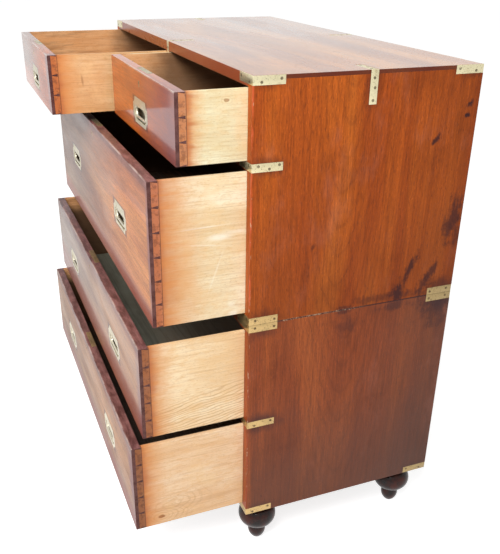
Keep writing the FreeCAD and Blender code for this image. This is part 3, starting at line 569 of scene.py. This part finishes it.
def drawer_front(drawer, seed, tones, gloss, purple_sheen_reach, left_shade, top_and_foot_shade, reflection_height):
    """The finish of one drawer's front."""
    low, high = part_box(f"{drawer}_front")
    width = high.x - low.x
    plate_bottom, plate_top = (corner.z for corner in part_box(f"{drawer}_handle_plates"))
    finish = Polish(f"front_wood_{drawer}")
    colour, height = hardwood(finish, "X", tones, 21 + 1.9 * seed)
    figured = finish.drawn_out("X", stretch=5, seed=seed + 3.3)
    flame = finish.noise(figured, scale=13, detail=4, roughness=0.55, distortion=0.6)
    flamed = finish.blend(colour, DARKENED, 0.5)
    colour = finish.blend(colour, flamed, finish.step(flame, 0.46, 0.68) * 0.6)

    # Painted light: a purple sheen on the right-hand end, dark red reflections at the top and foot,
    # and painted shade over the left part.
    murky = finish.drawn_out("X", stretch=2, seed=seed + 5)
    murk = finish.noise(murky, scale=20, detail=4, roughness=0.6)
    wavering_x = finish.x + (murk - 0.5) * purple_sheen_reach * 0.7
    purple_sheen = finish.step(wavering_x, high.x - purple_sheen_reach, high.x - purple_sheen_reach * 0.2)
    purple_sheen = purple_sheen * finish.step(murk, 0.35, 0.65, low=0.55, high=0.90)
    colour = finish.blend(colour, PURPLE_SHEEN, purple_sheen)
    # Painted dark reflections: dark red at the foot and, more faintly, at the top of the front.
    reflection_below = finish.step(finish.z + (flame - 0.5) * 0.03, low.z + reflection_height, low.z + reflection_height * 0.4)
    reflection_above = finish.step(finish.z + (flame - 0.5) * 0.02, high.z - 0.045, high.z - 0.005)
    colour = finish.blend(colour, DARK_REFLECTION_RED, (reflection_below * 0.85 + reflection_above * 0.5) * top_and_foot_shade)
    # Painted shade: a tint that darkens and browns the left part of the front.
    wavering_x = finish.x + (flame - 0.5) * width * 0.3
    painted_left_shade = finish.step(wavering_x, high.x - width * 0.1, high.x - width * 0.8) * left_shade
    colour = finish.blend(colour, LEFT_SHADE_TINT, painted_left_shade * (1 - reflection_below), "MULTIPLY")

    # The upper edge and a band just below it, dark with painted shade and rubbed in patches, and its
    # pale arris.
    upper_edge = finish.on_face(finish.z, high.z)
    patchy = finish.drawn_out("X", stretch=3, seed=seed)
    rubbed = finish.step(finish.noise(patchy, scale=60, detail=4, roughness=0.7), 0.34, 0.70)
    painted_dark_band = finish.step(finish.z + (flame - 0.5) * 0.01, high.z - 0.022, high.z - 0.009) * top_and_foot_shade
    shaded_edge_and_band = upper_edge.math("MAXIMUM", upper_edge * top_and_foot_shade, painted_dark_band * 0.7)
    colour = finish.blend(colour, finish.blend(EDGE_DARK, EDGE_RUBBED, rubbed), shaded_edge_and_band)
    off_face, off_top = finish.y - low.y, high.z - finish.z
    arris = finish.step(off_face.math("MAXIMUM", off_face, off_top), 0.0030, 0.0012)
    colour = finish.blend(colour, EDGE_LINE, arris * finish.step(murk, 0.40, 0.60) * 0.8)

    # Dirt round the handle plates, and end grain at both ends.
    aside = abs(off_handle(finish)) - PLATE_HALF_WIDTH
    above = abs(finish.z - (plate_bottom + plate_top) / 2) - PLATE_HALF_HEIGHT
    outside = aside.math("MAXIMUM", aside, above) + (flame - 0.5) * 0.006
    colour = finish.blend(colour, END_GRAIN, finish.step(outside, 0.0055, 0.0005) * 0.6)
    off_middle = abs(finish.x - (low.x + high.x) / 2)
    end = finish.step(off_middle, width / 2 - 0.0010, width / 2 - 0.0004)
    colour = finish.blend(colour, finish.blend(FRONT_END, END_GRAIN, rubbed), end * 0.9)
    polish = (1 - end * 0.7) * (1 - painted_dark_band * 0.5) * (painted_left_shade * 0.8 + 1) * gloss
    finish.wear_on(f"{drawer}_front", Base_Color=colour,
                   Roughness=finish.step(flame, 0.3, 0.7, low=0.30, high=0.45),
                   Specular_IOR_Level=0.1, Coat_Weight=polish, Coat_Roughness=0.09,
                   Normal=finish.relief(height, depth=0.00010, rounding=0.0012))


for seed, (drawer, look) in enumerate(FRONTS.items()):
    drawer_front(drawer, seed, **look)


# ---------------------------------------------------------------- drawer boxes and bottoms
# Pale pine sides dovetailed to the fronts and backs, the polish of the fronts
# having run over the dovetails, and thin pine bottoms slid into grooves. The
# insides are brown with age, with painted shade towards the back and below the
# rim. The bottoms are dirty, with painted light towards the back, and grey with
# dust and a painted sheen.

PINE_TONES = wood_tones((0.83, 0.57, 0.31), (0.92, 0.70, 0.43), (0.97, 0.80, 0.54))
PINE_LINE = (0.50, 0.25, 0.09)
PINE_WARM = (0.84, 0.54, 0.25)
KNOT = (0.22, 0.075, 0.022)
SCUFF = (0.96, 0.90, 0.76)
POLISH_RUN = (0.44, 0.115, 0.032)
POLISH_GLOW = (0.66, 0.245, 0.065)
POLISH_RIM = (0.50, 0.17, 0.058)
PINE_INSIDE = (0.86, 0.60, 0.45)
PINE_SHADED = (0.10, 0.050, 0.026)
FRONT_THICK = 0.019
WALL_THICK = 0.0095
LONG_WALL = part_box("deep_drawer_box")[1].x
SHORT_LEFT_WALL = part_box("short_left_drawer_box")[1].x


def pine(finish, along, seed, grain=1.0):
    """Colour and height of pine with straight, uneven grain."""
    broad = finish.drawn_out(along, stretch=6, seed=seed)
    long = finish.drawn_out(along, stretch=40, seed=seed)
    soft = finish.drawn_out(along, stretch=2.5, seed=seed + 4)
    short = finish.drawn_out(along, stretch=3, seed=seed)
    figure = finish.noise(broad, scale=12, detail=4, roughness=0.6, distortion=0.6)
    colour = finish.ramp(figure, PINE_TONES)
    lines = finish.step(finish.noise(long, scale=170, detail=2, roughness=0.5), 0.50, 0.62)
    strength = finish.noise(broad, scale=14, detail=3, roughness=0.6)
    strength = finish.step(strength, 0.42, 0.66, low=0.06, high=0.34)
    colour = finish.blend(colour, PINE_LINE, lines * strength * grain)
    mottle = finish.noise(soft, scale=120, detail=3, roughness=0.65)
    colour = finish.blend(colour, PINE_WARM, finish.step(mottle, 0.44, 0.66, high=0.45))
    fibre = finish.noise(long, scale=480, detail=3, roughness=0.7)
    colour = finish.blend(colour, PINE_LINE, finish.step(fibre, 0.46, 0.70, high=0.34))
    speck = finish.noise(short, scale=560, detail=2, roughness=0.6)
    colour = finish.blend(colour, PINE_LINE, finish.step(speck, 0.56, 0.70, high=0.30))
    return colour, fibre - lines * 0.4


def swirl(finish, colour, y, z, spacing, reach, weight, core):
    """Grain that goes round a place on a right-hand wall, and the knot in its middle."""
    away = finish.add("ShaderNodeMapping", {"vector_type": "TEXTURE"}, Vector=finish.place,
                      Location=(LONG_WALL, y, z), Scale=(1, 1.9, 1))
    distance = finish.add("ShaderNodeVectorMath", {"operation": "LENGTH"}, out=1, Vector=away)
    distance = distance + (finish.noise(finish.place, scale=22, detail=3, roughness=0.6) - 0.5) * 0.018
    wave = distance * (math.tau / spacing)
    rings = finish.step(wave.math("SINE", wave), 0.2, 1.0) * finish.step(distance, reach, reach * 0.4)
    colour = finish.blend(colour, PINE_LINE, rings * weight)
    return finish.blend(colour, KNOT, finish.step(distance, spacing * 0.6, spacing * 0.25) * core)


def slanting_grain(finish, colour, y, z, spacing, weight):
    """Wide wavy grain that climbs towards the back, on the lower half of a wall."""
    level = finish.drawn_out("Y", stretch=3, seed=7.7)
    sway = finish.noise(level, scale=14, detail=3, roughness=0.5) - 0.5
    field = finish.z - z - (finish.y - y) * 0.16 + sway * 0.035
    wave = (field + sway * 0.03) * (math.tau / spacing)
    rings = finish.step(wave.math("SINE", wave), 0.4, 1.0) * finish.step(field, 0.024, -0.004)
    return finish.blend(colour, PINE_LINE, rings * weight)


def patch(finish, colour, paint, y, z, half_y, half_z, weight, lean=0, wall=LONG_WALL):
    """An oval of dirt, or of wood scuffed pale, on a right-hand wall."""
    spot = finish.oval((wall, y, z), (MARK_DEPTH, half_y, half_z), lean=lean)
    return finish.blend(colour, paint, spot * weight)


DEEP_DRAWER_SCUFFS = tuple(
    (patch, dict(paint=SCUFF, y=y, z=z, half_y=half_y, half_z=half_z, weight=weight, lean=lean))
    for y, z, half_y, half_z, weight, lean in (
        (-0.185, 0.7915, 0.080, 0.0022, 0.45, 0.03),
        (-0.180, 0.7575, 0.075, 0.0022, 0.35, -0.12),
        (-0.158, 0.703, 0.0026, 0.062, 0.30, -0.35),
        (-0.150, 0.770, 0.034, 0.009, 0.6, 0),
        (-0.118, 0.777, 0.030, 0.005, 0.4, 0),
        (-0.128, 0.632, 0.010, 0.007, 0.35, 0),
        (-0.124, 0.612, 0.015, 0.009, 0.6, 0),
    ))
BOXES = {
    # tint, tail_tint: of the pine and of its tails; grain: strength of its lines; glow_reach: of the
    # orange polish behind the front; dark_back, dark_rim, dark: the place towards the back and the
    # depth below the rim where painted shade darkens the inside, and how much; marks: on the
    # right-hand wall
    "short_left_drawer": dict(
        tint=(0.80, 0.64, 0.52), tail_tint=(1.0, 1.0, 1.0), grain=0.6, glow_reach=0.06,
        dark_back=-0.15, dark_rim=1, dark=0.75, marks=(
            (patch, dict(paint=KNOT, y=-0.2905, z=0.9747, half_y=0.0035, half_z=0.018, weight=0.45,
                         lean=0.1, wall=SHORT_LEFT_WALL)),)),
    "short_right_drawer": dict(
        tint=(0.87, 0.99, 1.03), tail_tint=(1.1, 1.4, 1.8), grain=0.9, glow_reach=0.035,
        dark_back=-0.180, dark_rim=1, dark=0.82, marks=(
            (swirl, dict(y=-0.1365, z=1.0107, spacing=0.0040, reach=0.009, weight=0.2, core=0.7)),)),
    "deep_drawer": dict(
        tint=(0.96, 1.04, 1.12), tail_tint=(1.00, 1.05, 1.4), grain=0.35, glow_reach=0.100,
        dark_back=-0.27, dark_rim=0.05, dark=0.92, marks=DEEP_DRAWER_SCUFFS),
    "middle_drawer": dict(
        tint=(1.02, 1.03, 1.06), tail_tint=(0.70, 0.80, 0.98), grain=0.6, glow_reach=0.060,
        dark_back=-0.26, dark_rim=0.05, dark=0.92, marks=(
            (slanting_grain, dict(y=-0.238, z=0.432, spacing=0.0070, weight=0.55)),
            (swirl, dict(y=-0.284, z=0.4007, spacing=0.0045, reach=0.008, weight=0.2, core=0.7)))),
    "bottom_drawer": dict(
        tint=(0.97, 0.89, 0.90), tail_tint=(0.60, 0.72, 0.92), grain=0.6, glow_reach=0.060,
        dark_back=-0.28, dark_rim=0.05, dark=0.92, marks=(
            (swirl, dict(y=-0.2817, z=0.1587, spacing=0.0060, reach=0.045, weight=0.28, core=0.85)),
            (swirl, dict(y=-0.255, z=0.186, spacing=0.0080, reach=0.055, weight=0.22, core=0)))),
}


def drawer_box(drawer, seed, tint, tail_tint, grain, glow_reach, dark_back, dark_rim, dark, marks):
    """The finish of one drawer's two sides and back."""
    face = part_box(f"{drawer}_front")[0].y
    low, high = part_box(f"{drawer}_box")
    finish = Polish(f"pine_{drawer}")
    lengthwise, height = pine(finish, "Y", 41 + 1.3 * seed, grain)
    back_level = high.y - WALL_THICK
    behind = finish.step(finish.y, back_level - 0.0003, back_level + 0.0003)
    colour = finish.blend(lengthwise, pine(finish, "X", 31 + seed)[0], behind)
    colour = finish.blend(colour, tint, 1, "MULTIPLY")
    for mark, details in marks:
        colour = mark(finish, colour, **details)
    cloud = finish.noise(finish.place, scale=16, detail=4, roughness=0.65)
    colour = finish.blend(colour, PINE_WARM, finish.step(cloud, 0.52, 0.36) * 0.3)

    # Polish that has run back from the front: a wide glow, a stronger rim, and all over the tails.
    streaky = finish.drawn_out("Y", stretch=9, seed=seed)
    streak = finish.noise(streaky, scale=70, detail=3, roughness=0.65)
    ragged = (cloud - 0.5) * 0.05 + (streak - 0.5) * 0.09
    off_front = finish.y - face - FRONT_THICK
    glow = finish.step(off_front + ragged * (0.15 + glow_reach * 4), glow_reach, 0)
    rim = finish.step(off_front + ragged * 0.6, glow_reach * 0.45, -0.002)
    run = finish.step(off_front + ragged * 0.25, 0.014, -0.004)
    glow = glow * finish.step(streak, 0.40, 0.60, low=0.60, high=0.95)
    colour = finish.blend(colour, POLISH_GLOW, glow)
    colour = finish.blend(colour, POLISH_RIM, rim * 0.5)
    colour = finish.blend(colour, POLISH_RUN, run * 0.8)
    tails = finish.step(off_front, 0.0016, 0.0006)
    colour = finish.blend(colour, finish.blend(colour, tail_tint, 1, "MULTIPLY"), tails)
    smudge = finish.step(finish.noise(finish.place, scale=95, detail=3, roughness=0.7), 0.46, 0.64)
    colour = finish.blend(colour, END_GRAIN, tails * smudge * 0.45)
    scribed = finish.step(abs(off_front - 0.0012), 0.0009, 0.0004)
    colour = finish.blend(colour, END_GRAIN, scribed * 0.7)

    # The inside of the walls, with painted shade towards the back and below the rim.
    middle, half = (low.x + high.x) / 2, (high.x - low.x) / 2
    inner = finish.step(abs(finish.x - middle), half - WALL_THICK + 0.0007, half - WALL_THICK + 0.0001)
    inside = finish.blend(lengthwise, PINE_INSIDE, 1, "MULTIPLY")
    inside = finish.blend(inside, PINE_SHADED, finish.step(streak, 0.48, 0.68) * 0.35)
    colour = finish.blend(colour, inside, inner)
    towards_back = finish.step(finish.y + (cloud - 0.5) * 0.06, dark_back, dark_back + 0.08)
    below_rim = finish.step(high.z - finish.z, dark_rim * 0.3, dark_rim)
    shaded = towards_back.math("MAXIMUM", towards_back, below_rim)
    colour = finish.blend(colour, PINE_SHADED, inner * shaded * dark)
    finish.wear_on(f"{drawer}_box", Base_Color=colour, Specular_IOR_Level=0.3,
                   Roughness=finish.step(cloud, 0.3, 0.7, low=0.52, high=0.68),
                   Normal=finish.relief(height, depth=0.00018))


BOTTOM_TINT = (0.50, 0.38, 0.40)
BOTTOM_DIRT_AND_SHADE = (0.14, 0.17, 0.21)
BOTTOM_DUST_AND_SHEEN = (0.38, 0.38, 0.29)
DUST_AND_SHEEN_SHARES = {"middle_drawer": 0.85, "short_left_drawer": 0.3, "short_right_drawer": 0.3}
LITTLE_DUST_AND_SHEEN = 0.05


def drawer_bottom(drawer, seed):
    """The finish of one drawer's bottom: darkest at the front, with painted light behind, and grey
    with dust and a painted sheen.
    """
    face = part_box(f"{drawer}_front")[0].y
    finish = Polish(f"pine_bottom_{drawer}")
    colour, height = pine(finish, "X", 51 + seed)
    colour = finish.blend(colour, BOTTOM_TINT, 1, "MULTIPLY")
    dirt = finish.noise(finish.drawn_out("X", stretch=2, seed=seed), scale=7, detail=4, roughness=0.6)
    streaks = finish.drawn_out("X", stretch=16, seed=seed)
    rings = finish.noise(streaks, scale=75, detail=3, roughness=0.6, distortion=0.6)
    rings = finish.step(rings, 0.48, 0.64)
    colour = finish.blend(colour, BOTTOM_DIRT_AND_SHADE, rings * 0.4, "MULTIPLY")
    # Painted light: the dirt is weaker towards the back, so the bottom is paler there.
    painted_light_behind = finish.step(finish.y + (dirt - 0.5) * 0.3, face + 0.10, face + 0.26)
    dirt_and_painted_shade = (1 - painted_light_behind * 0.8) * finish.step(dirt, 0.3, 0.6, low=0.80, high=0.94)
    colour = finish.blend(colour, BOTTOM_DIRT_AND_SHADE, dirt_and_painted_shade, "MULTIPLY")
    # Dust, and a painted grey sheen, most of it in the middle drawer.
    dust = (1 - rings * 0.25) * finish.step(dirt, 0.35, 0.60, low=1, high=0.6)
    colour = finish.blend(colour, BOTTOM_DUST_AND_SHEEN, dust * DUST_AND_SHEEN_SHARES.get(drawer, LITTLE_DUST_AND_SHEEN))
    finish.wear_on(f"{drawer}_bottom", Base_Color=colour, Specular_IOR_Level=0.35,
                   Roughness=finish.step(dirt, 0.3, 0.7, low=0.60, high=0.75),
                   Normal=finish.relief(height, depth=0.0002))


for seed, (drawer, look) in enumerate(BOXES.items()):
    drawer_box(drawer, seed, **look)
    drawer_bottom(drawer, seed)


# ---------------------------------------------------------------- feet
# Each foot is turned from one piece with a tenon that goes up into the lower
# case, and ebonised: nearly black, with a deep shine and a little of the
# red-brown wood rubbed through.

EBONISED = ((0.40, (0.010, 0.005, 0.004)), (0.62, (0.060, 0.014, 0.009)))

foot = Polish("ebonised_wood")
mottle = foot.noise(foot.place, scale=34, detail=4, roughness=0.65)
turning = foot.noise(foot.drawn_out("Z", stretch=0.05, seed=0), scale=26, detail=2)
foot.wear_on(*(f"foot_{end}_{side}" for end in ("front", "rear") for side in ("left", "right")),
             Base_Color=foot.ramp(mottle, EBONISED),
             Roughness=foot.step(mottle, 0.3, 0.7, low=0.24, high=0.40),
             Coat_Weight=foot.step(mottle, 0.3, 0.7, low=0.24, high=0.14), Coat_Roughness=0.10,
             Specular_IOR_Level=0.15, Normal=foot.relief(turning, depth=0.0002))


# ---------------------------------------------------------------- brass straps of the cases
# Angles of brass strip let in flush round the corners and over the edges of
# both cases, each arm held by countersunk screws. The brass is paler at the
# top, golden lower down and brown at the rear.

STRAP_WIDTH, STRAP_ARM, STRAP_THICK = 0.016, 0.060, 0.002
STRAP_SUNK = 0.00015
STRAP_ARRIS = 0.0003
TOP_LEVEL = top_high.z
BASE_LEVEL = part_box("lower_side_right")[0].z
SIDE_MIDDLE = (CASE_FRONT + CASE_REAR) / 2
RAIL_THICK = 0.0175
UPPER_RAIL_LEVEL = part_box("upper_rail")[0].z + RAIL_THICK / 2
LOWER_RAIL_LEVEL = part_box("lower_rail")[0].z + RAIL_THICK / 2
X, Y, Z = (Vector(axis) for axis in ((1, 0, 0), (0, 1, 0), (0, 0, 1)))
SCREW_HEAD = 0.0027
SCREW_PROUD = 0.00010
SLOT_HALF, SLOT_DEEP = 0.00035, 0.0006
SCREW_SIDES = 16
SHARP_ANGLE = math.radians(35)
BRASS_PALE, BRASS_GOLD, BRASS_BROWN = (0.74, 0.67, 0.43), (0.54, 0.37, 0.16), (0.36, 0.26, 0.12)
BRASS_DIRT = (0.075, 0.045, 0.022)
PALE_LEVEL, GOLD_LEVEL = 0.98, 0.66


def brass(name, nodes=(), tarnish=0.5, depth=None, dark=0.0, golden=1.0, pale=BRASS_PALE):
    """Old brass: paler above, golden below and brown at the rear; depth gives the dirt and painted
    shadow in its hollow.
    """
    finish = Polish(name)
    cloud = finish.noise(finish.place, scale=34, detail=4, roughness=0.65)
    lower = finish.step(finish.z, PALE_LEVEL, GOLD_LEVEL)
    rearward = finish.step(finish.y, 0.10, 0.34) * finish.step(finish.z, 1.02, 0.90)
    colour = finish.blend(pale, BRASS_GOLD, lower * golden)
    colour = finish.blend(colour, BRASS_BROWN, rearward)
    patches = finish.step(cloud, 0.66 - tarnish * 0.3, 0.86 - tarnish * 0.2)
    colour = finish.blend(colour, BRASS_BROWN, patches * 0.7)
    specks = finish.noise(finish.place, scale=480, detail=3, roughness=0.6)
    colour = finish.blend(colour, BRASS_DIRT, finish.step(specks, 0.59, 0.68) * (0.35 + tarnish * 0.6))
    spots = finish.step(finish.noise(finish.place, scale=190, detail=3, roughness=0.6), 0.58, 0.66)
    colour = finish.blend(colour, BRASS_DIRT, spots * (lower * 0.35 + 0.15))
    if depth:
        colour = finish.blend(colour, BRASS_DIRT, depth(finish))
    if dark:
        darkest = finish.step(cloud, 0.3, 0.7, low=dark * 0.7, high=dark)
        colour = finish.blend(colour, BRASS_DIRT, darkest)
    return finish.wear_on(*nodes, Base_Color=colour, Metallic=0.85,
                          Roughness=finish.step(cloud, 0.3, 0.7, low=0.28, high=0.45),
                          Normal=finish.relief(specks, depth=0.00005, rounding=0.0004))


def make_piece(name, shape, material, body):
    """Makes an object of a shape, on one of the chest's bodies."""
    bmesh.ops.recalc_face_normals(shape, faces=shape.faces)
    mesh = bpy.data.meshes.new(name)
    shape.to_mesh(mesh)
    shape.free()
    mesh.shade_smooth()
    mesh.set_sharp_from_angle(angle=SHARP_ANGLE)
    mesh.materials.append(material)
    piece = bpy.data.objects.new(name, mesh)
    bpy.context.collection.objects.link(piece)
    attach(piece, body)
    return piece


def new_points(made):
    """The points that an operator has made."""
    return [part for part in made["geom"] if isinstance(part, bmesh.types.BMVert)]


def add_angle(shape, corner, first, second, across):
    """An L of strip with its outer corner on one edge of a case."""
    corner = corner + (first + second) * STRAP_SUNK
    reach, wall = STRAP_ARM - STRAP_SUNK, STRAP_THICK - STRAP_SUNK
    width = STRAP_WIDTH - 2 * STRAP_SUNK
    outline = ((0, 0), (reach, 0), (reach, wall), (wall, wall), (wall, reach), (0, reach))
    start = corner - across * width / 2
    end = shape.faces.new([shape.verts.new(start + first * a + second * b) for a, b in outline])
    bmesh.ops.translate(shape, verts=new_points(bmesh.ops.extrude_face_region(shape, geom=[end])),
                        vec=across * width)


def screw_head():
    """A countersunk head, as a mesh to set in many places.

    Known fault: the face that the slot is sunk from stays, level with the head,
    so the slot is covered and doesn't show. The slot's end walls are doubled,
    and the head is open underneath, inside the strap.
    """
    head = bmesh.new()
    bmesh.ops.create_circle(head, cap_ends=True, radius=SCREW_HEAD, segments=SCREW_SIDES)
    rim = bmesh.ops.extrude_edge_only(head, edges=head.edges[:])
    bmesh.ops.translate(head, verts=new_points(rim), vec=-Z * SLOT_DEEP)
    for side in (-SLOT_HALF, SLOT_HALF):
        bmesh.ops.bisect_plane(head, geom=head.verts[:] + head.edges[:] + head.faces[:],
                               plane_co=(0, side, 0), plane_no=(0, 1, 0))
    slot = [face for face in head.faces
            if face.normal.z ** 2 > 0.5 and abs(face.calc_center_median().y) < SLOT_HALF / 2]
    bmesh.ops.translate(head, verts=new_points(bmesh.ops.extrude_face_region(head, geom=slot)),
                        vec=-Z * SLOT_DEEP)
    mesh = bpy.data.meshes.new("ScrewHead")
    head.to_mesh(mesh)
    head.free()
    return mesh


SCREW = screw_head()


def add_screw(shape, place, outward, slot_turn):
    """Sets a screw's head on a surface."""
    before = len(shape.verts)
    shape.from_mesh(SCREW)
    turn = outward.to_track_quat("Z", "Y").to_matrix() @ Matrix.Rotation(slot_turn, 3, "Z")
    shape.verts.ensure_lookup_table()
    bmesh.ops.transform(shape, verts=shape.verts[before:],
                        matrix=Matrix.Translation(place) @ turn.to_4x4())


def strap_set(case, angles):
    """All angles of one case as a piece, and their screws as another, each turned its own way."""
    shape = bmesh.new()
    screws = bmesh.new()
    for number, (corner, first, second, across, first_spots, second_spots) in enumerate(angles):
        add_angle(shape, corner, first, second, across)
        for arm, (run, inward, spots) in enumerate(((first, second, first_spots),
                                                    (second, first, second_spots))):
            for count, (distance, aside) in enumerate(spots):
                place = corner + run * distance + across * aside + inward * (STRAP_SUNK - SCREW_PROUD)
                slot_turn = 0.7 + 1.9 * number + 2.3 * arm + 1.1 * count
                add_screw(screws, place, -inward, slot_turn)
    sharp = [edge for edge in shape.edges if edge.calc_face_angle(0) > 1]
    bmesh.ops.bevel(shape, geom=sharp, affect="EDGES", offset=STRAP_ARRIS, segments=2, profile=0.5,
                    material=-1)
    straps = make_piece(f"{case}_brass_straps", shape, STRAP_BRASS, f"{case}_case")
    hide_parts(f"{case}_straps")
    make_piece(f"{case}_strap_screws", screws, SCREW_BRASS, f"{case}_case")


# The screws of an arm: how far each is from the corner, and how far off the middle of the strip.
TWO_SCREWS = ((0.016, -0.003), (0.052, 0.002))
THREE_SCREWS = ((0.013, 0.003), (0.034, -0.003), (0.053, 0.003))
SEAM_SCREWS = ((0.013, 0.001), (0.053, -0.001))
MIDDLE_SCREWS = ((0.014, 0.0), (0.031, 0.002), (0.053, 0.0))


def edge_angles(ends, low, spots):
    """The same angle round the upright edges of a case, left and right."""
    return [(Vector((side * HALF_WIDTH, CASE_FRONT if end > 0 else CASE_REAR, low + STRAP_WIDTH / 2)),
             Y * end, X * -side, Z, spots, spots) for end in ends for side in (-1, 1)]


upper_angles = edge_angles((1, -1), TOP_LEVEL - STRAP_WIDTH, TWO_SCREWS)
upper_angles += edge_angles((1,), UPPER_RAIL_LEVEL - STRAP_WIDTH / 2, THREE_SCREWS)
upper_angles += edge_angles((1, -1), SEAM, SEAM_SCREWS)
upper_angles += [(Vector((side * HALF_WIDTH, SIDE_MIDDLE, TOP_LEVEL)), -Z, X * -side, Y,
                  MIDDLE_SCREWS, MIDDLE_SCREWS) for side in (-1, 1)]
upper_angles += [(Vector((0, CASE_FRONT if end > 0 else CASE_REAR, TOP_LEVEL)), -Z, Y * end, X,
                  MIDDLE_SCREWS[:1], MIDDLE_SCREWS) for end in (1, -1)]
lower_angles = edge_angles((1, -1), SEAM - STRAP_WIDTH, SEAM_SCREWS)
lower_angles += edge_angles((1,), LOWER_RAIL_LEVEL - STRAP_WIDTH / 2, TWO_SCREWS)
lower_angles += edge_angles((1, -1), BASE_LEVEL, TWO_SCREWS)

STRAP_BRASS = brass("strap_brass")
SCREW_BRASS = brass("screw_brass", dark=0.9)
strap_set("upper", upper_angles)
strap_set("lower", lower_angles)


# ---------------------------------------------------------------- handles and locks
# Sunk handles: a cast plate with a cup, let in flush, and a bail that lies in
# the cup. The locks are brass too, and show as a strip on each front's edge
# and a small escutcheon.

PLATE_PALE = (0.60, 0.55, 0.40)
BAIL_PALE = (0.66, 0.62, 0.50)


def cup_dirt_and_shadow(finish, face):
    """Dirt in the cup of a handle, and a painted shadow that darkens its left end most."""
    inside = finish.step(finish.y, face + 0.0022, face + 0.0040)
    return inside * finish.step(off_handle(finish), -0.006, -0.030, low=0.1, high=0.95)


for drawer in FRONTS:
    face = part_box(f"{drawer}_front")[0].y
    brass(f"handle_brass_{drawer}", [f"{drawer}_handle_plates"], tarnish=0.4,
          depth=lambda finish, face=face: cup_dirt_and_shadow(finish, face), golden=0.1, pale=PLATE_PALE)
bails = [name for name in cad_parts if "_bail" in name]
brass("bail_brass", bails, tarnish=0.3, golden=0.1, pale=BAIL_PALE)
locks = [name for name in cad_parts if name.endswith(("_lock", "_lock_bolt"))]
brass("lock_brass", locks, tarnish=0.8, dark=0.45)
